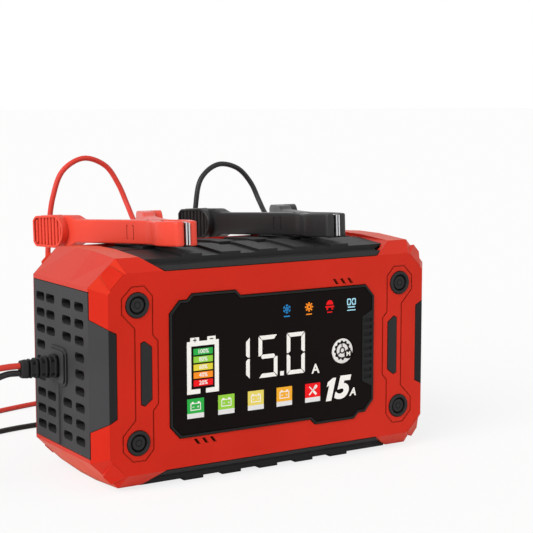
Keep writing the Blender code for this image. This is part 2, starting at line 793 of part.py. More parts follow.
def rear_cover():
    joint = JOINT_Y + GAP / 2
    body = bmesh.new()
    inner_inset = FACE_INSET + CASE_WALL * 0.4
    rings = [
        case_ring(FACE_INSET, BACK, BACK, 0.0),
        case_ring(0.0, joint, joint, 0.0),
        case_ring(CASE_WALL, joint, joint, 0.0),
        case_ring(inner_inset, COVER_FLOOR, COVER_FLOOR, 0.0),
    ]
    add_loft(body, rings)
    cover = finish("rear_cover", body, red_plastic())

    added = bmesh.new()
    add_rear_lugs(added)
    posts = bmesh.new()
    for x, z in CORNERS:
        profile = [(POST_MEETS, POST_RADIUS), (COVER_FLOOR + 0.001, POST_RADIUS)]
        add_turned(posts, (x, MID_Z + z), "Y", profile, 14)
    for x, z in standoff_places():
        profile = [(BOARD_Y + BOARD_THICK + GAP, STANDOFF_RADIUS), (COVER_FLOOR + 0.001, STANDOFF_RADIUS)]
        add_turned(posts, (x, MID_Z + z), "Y", profile, 12)
    half = CRADLE_HALF_HEIGHT
    front = FAN_SIZE / 2 - CRADLE_REACH
    wall = CRADLE_WALL + GAP
    thick = FAN_THICK / 2
    add_prism(posts, [
        (FAN_X - thick - wall, COVER_FLOOR + 0.001), (FAN_X - thick - wall, front),
        (FAN_X - thick - GAP, front), (FAN_X - thick - GAP, FAN_SIZE / 2 + GAP),
        (FAN_X + thick + GAP, FAN_SIZE / 2 + GAP), (FAN_X + thick + GAP, front),
        (FAN_X + thick + wall, front), (FAN_X + thick + wall, COVER_FLOOR + 0.001),
    ], "Z", MID_Z - half, MID_Z + half)
    boolean(cover, finish_cutter("add_rear_lugs", added), "UNION")
    boolean(cover, finish_cutter("add_rear_posts", posts), "UNION")

    bores = bmesh.new()
    for x, z in CORNERS:
        profile = [(POST_MEETS - 0.002, SCREW_RADIUS + GAP), (screw_end() + 0.001, SCREW_RADIUS + GAP)]
        add_turned(bores, (x, MID_Z + z), "Y", profile, 12)
    for x, z in standoff_places():
        end = BOARD_Y - GAP + BOARD_SCREW_LENGTH + 0.001
        profile = [(BOARD_Y, BOARD_SCREW_RADIUS + GAP), (end, BOARD_SCREW_RADIUS + GAP)]
        add_turned(bores, (x, MID_Z + z), "Y", profile, 12)
    boolean(cover, finish_cutter("cut_rear_bores", bores), "DIFFERENCE")
    return cover


def screw_end():
    return FRONT + CAP_DEPTH + 2 * GAP + SCREW_LENGTH


def case_screws():
    start = FRONT + CAP_DEPTH + 2 * GAP
    profile = [(start, SCREW_HEAD_RADIUS), (start + SCREW_HEAD_HEIGHT, SCREW_HEAD_RADIUS),
               (start + SCREW_HEAD_HEIGHT, SCREW_RADIUS), (screw_end(), SCREW_RADIUS)]
    for number, (x, z) in enumerate(CORNERS, 1):
        mesh = bmesh.new()
        add_turned(mesh, (x, MID_Z + z), "Y", profile, 12)
        rounded_off(finish("case_screw_%d" % number, mesh, steel()))


def screw_caps():
    front = FRONT - CAP_PROUD
    back = FRONT + CAP_DEPTH
    ring = CAP_RADIUS - CAP_RING
    profile = [(front + 0.0008, CAP_DISC_RADIUS), (front + 0.0018, CAP_DISC_RADIUS),
               (front + 0.0018, ring), (front, ring),
               (front, CAP_RADIUS - 0.0004), (front + 0.0004, CAP_RADIUS), (back, CAP_RADIUS)]
    for number, (x, z) in enumerate(CORNERS, 1):
        mesh = bmesh.new()
        add_turned(mesh, (x, MID_Z + z), "Y", profile, 20)
        rounded_off(finish("screw_cap_%d" % number, mesh, black_plastic()))


def slot_inlays():
    for sign, name in ((-1, "slot_inlay_left"), (1, "slot_inlay_right")):
        mesh = bmesh.new()
        add_prism(mesh, slot_outline(sign, 0.0), "Y", FRONT - 0.0002, FRONT + SLOT_DEPTH - GAP)
        finish(name, mesh, black_plastic())


# ---------------------------------------------------------------- panels
def vent_places():
    places = []
    middle = (VENT_ROWS - 1) / 2
    for row in range(VENT_ROWS):
        z = (row - middle) * VENT_PITCH - VENT_DROP
        edge_row = row < VENT_INNER_ROWS or row >= VENT_ROWS - VENT_INNER_ROWS
        columns = VENT_OUTER_COLUMNS + (VENT_INNER_COLUMNS if edge_row else ())
        places += [(y, z) for y in columns]
    return places


def side_panel(name, sign, port_half_y, port_half_z):
    """The part of the case wall inside the panel's field, with an inner flange that holds it."""
    skin = bmesh.new()
    add_skin(skin)
    panel = finish(name, skin, grey_plastic())
    boolean(panel, side_field(sign, 0.0), "INTERSECT")

    flange = bmesh.new()
    far = INNER_X - GAP
    half = SIDE_PANEL_HEIGHT / 2 + FLANGE_REACH / 2
    neck = SIDE_PANEL_HEIGHT / 2 - 0.0005
    outline = [(far - FLANGE, half), (far, half), (far, neck), (INNER_X + 0.0005, neck)]
    outline = [(sign * x, MID_Z + z) for x, z in outline + [(x, -z) for x, z in reversed(outline)]]
    add_prism(flange, outline, "Y", FOLD_Y + 0.0015, JOINT_Y - SIDE_PANEL_BACK - GAP - 0.0003)
    inner = finish_cutter("add_flange_" + name, flange)
    plate = bmesh.new()
    for step in (1, 2):
        shrink = (step - 1) * 0.0012
        outline = rounded(PORT_PLATE_WIDTH / 2 - shrink, PORT_PLATE_HEIGHT / 2 - shrink, 0.0035 - shrink, 3,
                          (PORT_Y, MID_Z))
        low = HALF_WIDTH - 0.001
        high = HALF_WIDTH + step * PORT_PLATE_STEP
        piece = plate if step == 1 else bmesh.new()
        add_prism(piece, outline, "X", *sorted((sign * low, sign * high)))
        if step == 2:
            upper_plate = finish_cutter("add_upper_plate_" + name, piece)
    lower_plate = finish_cutter("add_lower_plate_" + name, plate)
    keel = bmesh.new()
    add_keel(keel, sign)
    for tool in (inner, lower_plate, upper_plate, finish_cutter("add_keel_" + name, keel)):
        boolean(panel, tool, "UNION")

    cuts = bmesh.new()
    x = sorted((sign * (HALF_WIDTH - 0.008), sign * (HALF_WIDTH + 0.004)))
    for y, z in vent_places():
        outline = rounded(VENT_WIDTH / 2, VENT_HEIGHT / 2, VENT_ROUND, 2, (y, MID_Z + z))
        add_prism(cuts, outline, "X", *x)
    port = rounded(port_half_y + GAP, port_half_z + GAP, 0.0015, 3, (PORT_Y, MID_Z))
    add_prism(cuts, port, "X", *x)
    boolean(panel, finish_cutter("cut_vents_" + name, cuts), "DIFFERENCE")
    return panel


def add_keel(mesh, sign):
    """A ridge down the middle of the panel that swells where it meets the port plate."""
    plate = PORT_PLATE_HEIGHT / 2
    bottom = SIDE_PANEL_HEIGHT / 2 - 0.0005
    stations = (
        (-bottom, KEEL_WIDTH / 2), (-plate - 0.010, KEEL_WIDTH / 2), (-plate + 0.001, KEEL_TOP_WIDTH / 2),
    )
    rings = []
    for z, half in stations:
        low = HALF_WIDTH - 0.0008
        high = HALF_WIDTH + KEEL_PROUD * (0.75 if half > KEEL_WIDTH else 0.5)
        rings.append([
            (sign * low, PORT_Y - half, MID_Z + z), (sign * high, PORT_Y - half * 0.4, MID_Z + z),
            (sign * high, PORT_Y + half * 0.4, MID_Z + z), (sign * low, PORT_Y + half, MID_Z + z),
        ])
    add_loft(mesh, rings)


def tread_panel(name, up, level):
    """Tread panel for the top (up = 1) or the bottom (up = -1); level plates stand flat."""
    def height(y, drop):
        if level:
            return HALF_HEIGHT + CROWN + FOOT_PROUD - drop
        return HALF_HEIGHT + crown_at(y) - PLATE_DROP - drop

    def flipped(points):
        return [(y, MID_Z + up * z) for y, z in points]

    half_flat = CROWN_FLAT / 2
    first = FRONT + PLATE_FRONT
    last = JOINT_Y - SIDE_PANEL_BACK - GAP - 0.0012
    back = last + 0.0012
    groove = (-ROW_GROOVE, 0.0)
    edge = HALF_HEIGHT - FACE_INSET
    slope = FACE_INSET / TOP_BEVEL_DEPTH
    strip = TREAD_STRIP
    low = PLATE_STEP
    deck = [
        (FRONT, edge), (FRONT + strip, edge + strip * slope), (FRONT + strip + 0.0004, edge + 0.0008),
        (first, height(first, low) - 0.0022), (first, height(first, low)),
        (-half_flat, height(-half_flat, low)), (groove[0], height(groove[0], low)),
        (groove[0], height(0, low) - 0.0016), (groove[1], height(0, low) - 0.0016),
        (groove[1], height(0, low)), (half_flat, height(half_flat, low)),
        (last, height(last, low)), (last, height(last, low) - 0.0014), (back, height(last, low) - 0.0014),
    ]
    under = HALF_HEIGHT - CASE_WALL - 0.0021
    deck += [(back, under), (half_flat, under + CROWN), (-half_flat, under + CROWN),
             (FRONT + TOP_BEVEL_DEPTH + 0.001, under), (FRONT + CASE_WALL, edge)]
    body = bmesh.new()
    half = TREAD_WIDTH / 2 + 0.001
    add_prism(body, flipped(deck), "X", -half, half)
    panel = finish(name, body, black_plastic())
    field = bmesh.new()
    add_prism(field, tread_outline(up, 0.0), "Y", FRONT - 0.01, BACK + 0.01)
    boolean(panel, finish_cutter("cut_field_" + name, field), "INTERSECT")

    flange = bmesh.new()
    top = HALF_HEIGHT - CASE_WALL - GAP
    outline = [(FRONT + TOP_BEVEL_DEPTH + 0.004, top + 0.0001), (-half_flat, top + CROWN),
               (half_flat, top + CROWN), (back, top)]
    outline += [(y, z - FLANGE) for y, z in reversed(outline)]
    reach = TREAD_WIDTH / 2 + FLANGE_REACH
    add_prism(flange, flipped(outline), "X", -reach, reach)
    boolean(panel, finish_cutter("add_flange_" + name, flange), "UNION")

    plates = bmesh.new()
    middle = (PLATE_COUNT - 1) / 2
    for row, (start, end) in enumerate(((first, groove[0]), (groove[1], last))):
        for i in range(PLATE_COUNT):
            if (i + row) % 2 == 0:
                continue
            x = (i - middle) * PLATE_PITCH + row * ROW_SHIFT
            outline = plate_outline(start, end, half_flat, height)
            add_prism(plates, flipped(outline), "X", x - PLATE_PITCH / 2, x + PLATE_PITCH / 2)
    boolean(panel, finish_cutter("add_plates_" + name, plates), "UNION")
    return panel


def plate_outline(start, end, half_flat, height):
    """Side view of one high plate between two depths."""
    fold = -half_flat if start < -half_flat else half_flat
    sunk = PLATE_STEP + 0.0010
    upper = [(start, height(start, 0.0)), (fold, height(fold, 0.0)), (end, height(end, 0.0))]
    lower = [(y, z - sunk) for y, z in reversed(upper)]
    return upper + lower


# ---------------------------------------------------------------- display
def display_bezel():
    body = bmesh.new()
    outline = display_outline()
    flange = (WALL_FRONT + GAP, BEZEL_BACK)
    add_prism(body, raised(outline), "Y", BEZEL_FRONT, BEZEL_BACK)
    bezel = finish("display_bezel", body, grey_plastic())
    rim = bmesh.new()
    add_prism(rim, raised(offset(outline, FLANGE_REACH)), "Y", flange[0], BEZEL_BACK)
    boolean(bezel, finish_cutter("add_bezel_rim", rim), "UNION")
    pegs = bmesh.new()
    for x in (DISPLAY_BOARD_LEFT + PEG_INSET, DISPLAY_BOARD_RIGHT - PEG_INSET):
        for sign in (-1, 1):
            z = MID_Z + sign * (DISPLAY_BOARD_HALF_HEIGHT - PEG_INSET)
            profile = [(BEZEL_BACK - 0.0007, PEG_RADIUS), (DISPLAY_BOARD_Y - GAP, PEG_RADIUS)]
            add_turned(pegs, (x, z), "Y", profile, 10)
    boolean(bezel, finish_cutter("add_bezel_pegs", pegs), "UNION")
    cuts = bmesh.new()
    add_prism(cuts, raised(lens_outline(BEZEL_FRAME)), "Y", BEZEL_FRONT - 0.002, POCKET_FLOOR)
    boolean(bezel, finish_cutter("cut_lens_pocket", cuts), "DIFFERENCE")
    holes = bmesh.new()
    window = LCD_HALF_HEIGHT - 0.0015
    x = (LCD_LEFT + 0.0015, LCD_RIGHT - 0.0015)
    add_box(holes, x, (BEZEL_FRONT, BEZEL_BACK + 0.002), (MID_Z - window, MID_Z + window))
    profile = [(BEZEL_FRONT, BUTTON_STEM_RADIUS + GAP), (BEZEL_BACK + 0.002, BUTTON_STEM_RADIUS + GAP)]
    add_turned(holes, (BUTTON_X, MID_Z), "Y", profile, 16)
    right = DISPLAY_WIDTH / 2 - BEZEL_FRAME
    for i in range(9):
        z = MID_Z + (i - 4) * 0.0034
        x = (right - RIB_INSET_DEPTH + BEZEL_FRAME + 0.0008, right - 0.0002)
        add_box(holes, x, (BEZEL_FRONT - 0.001, BEZEL_FRONT + 0.0006), (z - 0.0008, z + 0.0008))
    boolean(bezel, finish_cutter("cut_bezel_holes", holes), "DIFFERENCE")
    return bezel


def display_window():
    body = bmesh.new()
    add_prism(body, raised(lens_outline(BEZEL_FRAME + GAP)), "Y", LENS_FRONT, LENS_BACK)
    look = material("black_gloss", (0.004, 0.003, 0.003), 0.08)
    lens = finish("display_window", body, look)
    hole = bmesh.new()
    profile = [(LENS_FRONT - 0.002, BUTTON_RADIUS + GAP), (LENS_BACK + 0.002, BUTTON_RADIUS + GAP)]
    add_turned(hole, (BUTTON_X, MID_Z), "Y", profile, 32)
    boolean(lens, finish_cutter("cut_button_hole", hole), "DIFFERENCE")
    return lens


def mode_button():
    mesh = bmesh.new()
    front = LENS_FRONT - 0.0002
    stem_end = DISPLAY_BOARD_Y - GAP - SWITCH_HEIGHT - GAP - BUTTON_TRAVEL
    profile = [(0.0, BUTTON_RADIUS - 0.0003), (0.0003, BUTTON_RADIUS), (BUTTON_THICK, BUTTON_RADIUS),
               (BUTTON_THICK, BUTTON_STEM_RADIUS), (stem_end - front, BUTTON_STEM_RADIUS)]
    add_turned(mesh, (0.0, 0.0), "Y", profile, 32)
    look = material("white_print", (0.8, 0.8, 0.8), 0.4)
    button = rounded_off(finish("mode_button", mesh, look))
    button.location = (BUTTON_X, front, MID_Z)
    return button


def lcd_module():
    mesh = bmesh.new()
    z = (MID_Z - LCD_HALF_HEIGHT, MID_Z + LCD_HALF_HEIGHT)
    add_box(mesh, (LCD_LEFT, LCD_RIGHT), (LCD_FRONT, LCD_BACK), z)
    return finish("lcd_module", mesh, material("lcd_glass", (0.03, 0.04, 0.05), 0.15))


def display_board():
    mesh = bmesh.new()
    low = DISPLAY_BOARD_Y
    z = (MID_Z - DISPLAY_BOARD_HALF_HEIGHT, MID_Z + DISPLAY_BOARD_HALF_HEIGHT)
    add_box(mesh, (DISPLAY_BOARD_LEFT, DISPLAY_BOARD_RIGHT), (low, low + BOARD_THICK), z)
    board = finish("display_board", mesh, board_green())
    switch = bmesh.new()
    half = SWITCH_SIZE / 2
    add_box(switch, (BUTTON_X - half, BUTTON_X + half), (low - GAP - SWITCH_HEIGHT + 0.0008, low + 0.0004),
            (MID_Z - half, MID_Z + half))
    boolean(board, finish_cutter("add_switch", switch), "UNION")
    plunger = bmesh.new()
    profile = [(low - GAP - SWITCH_HEIGHT, BUTTON_STEM_RADIUS * 0.8), (low, BUTTON_STEM_RADIUS * 0.8)]
    add_turned(plunger, (BUTTON_X, MID_Z), "Y", profile, 12)
    boolean(board, finish_cutter("add_plunger", plunger), "UNION")
    return board


# ---------------------------------------------------------------- electronics
def standoff_places():
    places = []
    for x in (BOARD_LEFT + STANDOFF_INSET, BOARD_RIGHT - STANDOFF_INSET):
        for sign in (-1, 1):
            places.append((x, sign * (BOARD_HALF_HEIGHT - STANDOFF_INSET)))
    return places


def main_board():
    mesh = bmesh.new()
    z = (MID_Z - BOARD_HALF_HEIGHT, MID_Z + BOARD_HALF_HEIGHT)
    add_box(mesh, (BOARD_LEFT, BOARD_RIGHT), (BOARD_Y, BOARD_Y + BOARD_THICK), z)
    board = finish("main_board", mesh, board_green())
    holes = bmesh.new()
    for x, z in standoff_places():
        profile = [(BOARD_Y - 0.002, BOARD_SCREW_RADIUS + GAP), (BOARD_Y + 0.004, BOARD_SCREW_RADIUS + GAP)]
        add_turned(holes, (x, MID_Z + z), "Y", profile, 12)
    boolean(board, finish_cutter("cut_board_holes", holes), "DIFFERENCE")
    return board


def board_screws():
    head_back = BOARD_Y - GAP
    profile = [(head_back - 0.0016, BOARD_SCREW_HEAD * 0.8), (head_back - 0.0008, BOARD_SCREW_HEAD),
               (head_back, BOARD_SCREW_HEAD), (head_back, BOARD_SCREW_RADIUS),
               (head_back + BOARD_SCREW_LENGTH, BOARD_SCREW_RADIUS)]
    for number, (x, z) in enumerate(standoff_places(), 1):
        mesh = bmesh.new()
        add_turned(mesh, (x, MID_Z + z), "Y", profile, 10)
        rounded_off(finish("board_screw_%d" % number, mesh, steel()))


def heat_sink():
    """Aluminium comb: a base plate on the board's side and fins that stand forward."""
    mesh = bmesh.new()
    left = SINK_X - SINK_WIDTH / 2
    back = PARTS_BACK
    pitch = (SINK_WIDTH - FIN_THICK) / (SINK_FINS - 1)
    outline = [(left, back)]
    for i in range(SINK_FINS):
        x = left + i * pitch
        if i > 0:
            outline.append((x, back - SINK_BASE))
        outline.append((x, back - SINK_DEPTH))
        outline.append((x + FIN_THICK, back - SINK_DEPTH))
        if i < SINK_FINS - 1:
            outline.append((x + FIN_THICK, back - SINK_BASE))
    outline.append((left + SINK_WIDTH, back))
    add_prism(mesh, outline, "Z", MID_Z - SINK_HALF_HEIGHT, MID_Z + SINK_HALF_HEIGHT)
    return finish("heat_sink", mesh, material("aluminium", (0.6, 0.6, 0.6), 0.4, 1.0))


def power_transistors():
    left = SINK_X + SINK_WIDTH / 2 + GAP
    back = PARTS_BACK
    half = TRANSISTOR_WIDTH / 2
    for number, i in enumerate((-1, 0, 1), 1):
        z = MID_Z + i * TRANSISTOR_PITCH
        mesh = bmesh.new()
        add_box(mesh, (left, left + TRANSISTOR_THICK), (back - TRANSISTOR_HEIGHT, back), (z - half, z + half))
        finish("power_transistor_%d" % number, mesh, black_plastic())


def transformer():
    core = bmesh.new()
    back = PARTS_BACK - COIL_STANDS - GAP
    half_w = CORE_WIDTH / 2
    half_h = CORE_HEIGHT / 2
    x = (CORE_X - half_w, CORE_X + half_w)
    add_box(core, x, (back - CORE_DEPTH, back), (MID_Z - half_h, MID_Z + half_h))
    frame = finish("transformer_core", core, material("ferrite", (0.05, 0.05, 0.055), 0.7))
    cuts = bmesh.new()
    leg = CORE_LEG
    inner_h = half_h - leg / 2
    window = half_w - leg / 2
    for sign in (-1, 1):
        x = sorted((CORE_X + sign * leg / 2, CORE_X + sign * window))
        add_box(cuts, x, (back - CORE_DEPTH - 0.002, back + 0.002), (MID_Z - inner_h, MID_Z + inner_h))
    boolean(frame, finish_cutter("cut_core_windows", cuts), "DIFFERENCE")

    winding = bmesh.new()
    half = window - GAP
    tall = inner_h - GAP
    outer = rounded(half, CORE_DEPTH / 2 + COIL_STANDS, 0.003, 3, (CORE_X, back - CORE_DEPTH / 2))
    add_prism(winding, outer, "Z", MID_Z - tall, MID_Z + tall)
    coil = finish("transformer_winding", winding, material("winding_tape", (0.75, 0.55, 0.08), 0.5))
    bore = bmesh.new()
    x = (CORE_X - leg / 2 - GAP, CORE_X + leg / 2 + GAP)
    y = (back - CORE_DEPTH - GAP, back + GAP)
    add_box(bore, x, y, (MID_Z - tall - 0.002, MID_Z + tall + 0.002))
    boolean(coil, finish_cutter("cut_winding_bore", bore), "DIFFERENCE")


def capacitors():
    back = PARTS_BACK
    front = back - CAPACITOR_LENGTH
    profile = [(front, CAPACITOR_RADIUS - 0.001), (front + 0.001, CAPACITOR_RADIUS), (back, CAPACITOR_RADIUS)]
    for number, sign in ((1, -1), (2, 1)):
        mesh = bmesh.new()
        z = MID_Z + CAPACITOR_Z + sign * CAPACITOR_SPACING / 2
        add_turned(mesh, (CAPACITOR_X, z), "Y", profile, 20)
        look = material("capacitor_sleeve", (0.02, 0.03, 0.10), 0.4)
        rounded_off(finish("capacitor_%d" % number, mesh, look))


def output_choke():
    """A ring core that lies on the board."""
    mesh = bmesh.new()
    rows = []
    rings = 16
    sides = 8
    middle_y = PARTS_BACK - CHOKE_TUBE
    for i in range(rings):
        angle = 2 * math.pi * i / rings
        row = []
        for j in range(sides):
            turn = 2 * math.pi * j / sides
            reach = CHOKE_RADIUS + CHOKE_TUBE * math.cos(turn)
            x = CHOKE_X + reach * math.cos(angle)
            z = MID_Z - CHOKE_BELOW + reach * math.sin(angle)
            row.append(mesh.verts.new((x, middle_y + CHOKE_TUBE * math.sin(turn), z)))
        rows.append(row)
    for i in range(rings):
        for j in range(sides):
            k = (i + 1) % rings
            m = (j + 1) % sides
            mesh.faces.new((rows[i][j], rows[i][m], rows[k][m], rows[k][j]))
    return rounded_off(finish("output_choke", mesh, material("copper", (0.7, 0.28, 0.12), 0.35, 1.0)))


# ---------------------------------------------------------------- fan
def fan_frame():
    mesh = bmesh.new()
    half = FAN_SIZE / 2
    low = FAN_X - FAN_THICK / 2
    high = FAN_X + FAN_THICK / 2
    add_prism(mesh, rounded(half, half, 0.002, 2, (0.0, MID_Z)), "X", low, high)
    frame = finish("fan_frame", mesh, black_plastic())
    bore = bmesh.new()
    add_prism(bore, circle((0.0, MID_Z), FAN_BORE, 32), "X", low - 0.002, high + 0.002)
    boolean(frame, finish_cutter("cut_fan_bore", bore), "DIFFERENCE")
    hub = bmesh.new()
    add_prism(hub, circle((0.0, MID_Z), FAN_HUB, 20), "X", high - STRUT_THICK, high)
    boolean(frame, finish_cutter("add_fan_hub", hub), "UNION")
    struts = bmesh.new()
    for i in range(3):
        angle = math.radians(90 + 120 * i)
        add_radial_bar(struts, angle, FAN_HUB - 0.001, FAN_BORE + 0.001, 0.0015, high - STRUT_THICK, high)
    boolean(frame, finish_cutter("add_fan_struts", struts), "UNION")
    return frame


def add_radial_bar(mesh, angle, inner, outer, half, low, high):
    out = Vector((math.cos(angle), math.sin(angle)))
    side = Vector((-out.y, out.x)) * half
    corners = [out * inner - side, out * outer - side, out * outer + side, out * inner + side]
    add_prism(mesh, [(c.x, MID_Z + c.y) for c in corners], "X", low, high)


def fan_rotor():
    """Hub cup with pitched blades; the origin is on the shaft's line."""
    mesh = bmesh.new()
    length = FAN_THICK - STRUT_THICK - 2 * GAP - 0.0006
    start = -FAN_THICK / 2 + 0.0003
    profile = [(start, FAN_HUB - 0.0006), (start + 0.0006, FAN_HUB), (start + length, FAN_HUB)]
    add_turned(mesh, (0.0, 0.0), "X", profile, 21)
    rotor = finish("fan_rotor", mesh, black_plastic())
    rotor.location = (FAN_X, 0.0, MID_Z)
    blades = bmesh.new()
    for i in range(FAN_BLADES):
        add_blade(blades, 2 * math.pi * i / FAN_BLADES, start + 0.0006, start + length - 0.0004)
    tool = finish_cutter("add_blades", blades)
    tool.location = rotor.location
    boolean(rotor, tool, "UNION")
    return rotor


def add_blade(mesh, angle, low, high):
    rings = []
    for radius, sweep in ((FAN_HUB - 0.0008, BLADE_SWEEP_ROOT), (FAN_TIP, BLADE_SWEEP_TIP)):
        ring = []
        for along, side in ((low, -1), (high, 1)):
            for thick in (-1, 1):
                turn = angle + side * sweep + thick * BLADE_THICK / (2 * radius)
                ring.append((along, radius * math.cos(turn), radius * math.sin(turn)))
        rings.append([ring[0], ring[1], ring[3], ring[2]])
    add_loft(mesh, rings)


# ---------------------------------------------------------------- inlet and strain relief
def mains_inlet():
    mesh = bmesh.new()
    front = HALF_WIDTH + 2 * PORT_PLATE_STEP + GAP
    outline = rounded(INLET_WIDTH / 2 - 0.0012, INLET_HEIGHT / 2 - 0.0012, 0.0024, 4, (PORT_Y, MID_Z))
    add_prism(mesh, outline, "X", front - INLET_BODY - 0.0020, front + INLET_PROUD)
    inlet = finish("mains_inlet", mesh, black_plastic())
    rim = bmesh.new()
    outline = rounded(INLET_WIDTH / 2, INLET_HEIGHT / 2, 0.0030, 4, (PORT_Y, MID_Z))
    add_prism(rim, outline, "X", front, front + INLET_PROUD)
    boolean(inlet, finish_cutter("add_inlet_rim", rim), "UNION")
    socket = bmesh.new()
    outline = rounded(SOCKET_WIDTH / 2, SOCKET_HEIGHT / 2, SOCKET_HEIGHT / 2 - 0.0003, 4, (PORT_Y, MID_Z))
    add_prism(socket, outline, "X", front + INLET_PROUD - SOCKET_DEPTH, front + 0.01)
    boolean(inlet, finish_cutter("cut_socket", socket), "DIFFERENCE")
    return inlet


def inlet_pins():
    front = HALF_WIDTH + 2 * PORT_PLATE_STEP + GAP + INLET_PROUD
    floor = front - SOCKET_DEPTH + GAP
    profile = [(floor, INLET_PIN_RADIUS), (floor + INLET_PIN_LENGTH - 0.0006, INLET_PIN_RADIUS),
               (floor + INLET_PIN_LENGTH, INLET_PIN_RADIUS * 0.5)]
    for number, sign in ((1, -1), (2, 1)):
        mesh = bmesh.new()
        add_turned(mesh, (PORT_Y + sign * INLET_PIN_SPACING / 2, MID_Z), "X", profile, 12)
        look = material("brass", (0.7, 0.5, 0.2), 0.3, 1.0)
        rounded_off(finish("inlet_pin_%d" % number, mesh, look))


def relief_start():
    return HALF_WIDTH + 2 * PORT_PLATE_STEP + GAP


def relief_tip():
    return relief_start() + RELIEF_LENGTH


def strain_relief():
    """Black rubber: a head inside the panel, a neck through it, and ribs that get smaller."""
    inner = INNER_X - GAP - FLANGE - GAP
    start = relief_start()
    neck = (RELIEF_NECK_Y, RELIEF_NECK_Z)
    head = (RELIEF_NECK_Y + 0.0016, RELIEF_NECK_Z + 0.0016)
    stations = [(inner - RELIEF_HEAD, head), (inner, head), (inner, neck), (start, neck)]
    pitch = (RELIEF_LENGTH - RELIEF_COLLAR) / RELIEF_RIBS
    for i in range(RELIEF_RIBS):
        x = start + i * pitch
        outer = relief_size(i * pitch)
        grooved = (outer[0] - RELIEF_GROOVE * 0.7, outer[1] - RELIEF_GROOVE)
        end = x + pitch * RELIEF_RIB_SHARE
        stations += [(x, outer), (end, outer), (end, grooved), (x + pitch, grooved)]
    tip = relief_size(RELIEF_LENGTH)
    collar = start + RELIEF_LENGTH - RELIEF_COLLAR
    stations += [(collar, tip), (start + RELIEF_LENGTH, tip)]
    mesh = bmesh.new()
    rings = []
    for x, (half_y, half_z) in stations:
        outline = rounded(half_y, half_z, min(half_y, half_z) * 0.62, 3, (PORT_Y, MID_Z))
        rings.append([(-x, y, z) for y, z in outline])
    add_loft(mesh, rings)
    return rounded_off(finish("strain_relief", mesh, black_plastic()))


def relief_size(distance):
    share = distance / RELIEF_LENGTH
    half_y = RELIEF_ROOT_Y + (RELIEF_TIP_Y - RELIEF_ROOT_Y) * share
    half_z = RELIEF_ROOT_Z + (RELIEF_TIP_Z - RELIEF_ROOT_Z) * share
    return half_y, half_z


# ---------------------------------------------------------------- clamps
def clamp_frame(colour):
    """Empty on the pivot, at the clamp's lower face; the clamp rests on the top of the case."""
    contact_front = (CROWN_FLAT / 2, MID_Z + HALF_HEIGHT + CROWN - PLATE_DROP)
    contact_back = (JOINT_Y, MID_Z + HALF_HEIGHT)
    drop = contact_front[1] - contact_back[1]
    tilt = -math.atan2(drop, contact_back[0] - contact_front[0])
    yaw = math.radians(-CLAMP_YAW_DEG)
    turn = Matrix.Rotation(tilt, 4, "X") @ Matrix.Rotation(yaw, 4, "Z")
    pivot_y = CLAMP_TIP_Y + CLAMP_PIVOT_TO_TIP
    pivot_x = CLAMP_TIP_X[colour] + CLAMP_PIVOT_TO_TIP * math.sin(-yaw)
    lift = GAP / math.cos(tilt)
    pivot_z = contact_front[1] + lift + (pivot_y - contact_front[0]) * math.tan(tilt)
    frame = bpy.data.objects.new(colour + "_clamp_frame", None)
    frame.matrix_world = Matrix.Translation((pivot_x, pivot_y, pivot_z)) @ turn
    frame.empty_display_size = 0.01
    bpy.context.scene.collection.objects.link(frame)
    return frame


def arm_ring(side, y, inner, outer, height):
    """Section of an arm with small bevels on its outer edges; side is -1 or 1."""
    low = CLAMP_HEIGHT / 2 * (1 - height)
    high = CLAMP_HEIGHT / 2 * (1 + height)
    edge = ARM_EDGE
    points = [(inner, low), (outer - edge, low), (outer, low + edge), (outer, high - edge),
              (outer - edge, high), (inner, high)]
    return [(side * x, y, z) for x, z in points]


def clamp_arm(name, side, knuckle_levels, clear_levels, look, frame):
    """One arm of a clamp with its knuckles, grip pad and boot."""
    body = bmesh.new()
    add_loft(body, [arm_ring(side, *station) for station in ARM_STATIONS])
    arm = finish(name, body, look, frame)

    cleared = bmesh.new()
    for low, high in clear_levels:
        add_prism(cleared, circle((0.0, 0.0), KNUCKLE_CLEAR, 16), "Z", low, high)
    boolean(arm, finish_cutter("cut_clear_" + name, cleared, frame), "DIFFERENCE")
    knuckles = bmesh.new()
    for low, high in knuckle_levels:
        add_prism(knuckles, circle((0.0, 0.0), KNUCKLE_RADIUS, 16), "Z", low, high)
    boolean(arm, finish_cutter("add_knuckles_" + name, knuckles, frame), "UNION")
    pad = bmesh.new()
    add_pad(pad, side)
    boolean(arm, finish_cutter("add_pad_" + name, pad, frame), "UNION")
    nub = bmesh.new()
    add_nub(nub, side)
    boolean(arm, finish_cutter("add_nub_" + name, nub, frame), "UNION")

    cuts = bmesh.new()
    bore = PIN_RADIUS + GAP
    recess = PIN_HEAD_RADIUS + GAP if side > 0 else bore
    depth = PIN_HEAD + GAP
    profile = [(-0.002, recess), (depth, recess), (depth, bore)]
    profile += [(CLAMP_HEIGHT - along, radius) for along, radius in reversed(profile)]
    add_turned(cuts, (0.0, 0.0), "Z", profile, 12)
    add_pad_grooves(cuts, side)
    boolean(arm, finish_cutter("cut_bore_" + name, cuts, frame), "DIFFERENCE")
    return arm


def pad_axes(side):
    """Start point, direction along the pad and direction out of it."""
    start = Vector((ARM_STATIONS[14][2], ARM_STATIONS[14][0]))
    end = Vector((ARM_STATIONS[15][2], ARM_STATIONS[15][0]))
    along = (end - start).normalized()
    out = Vector((along.y, -along.x))
    return start - along * PAD_AHEAD, along, out


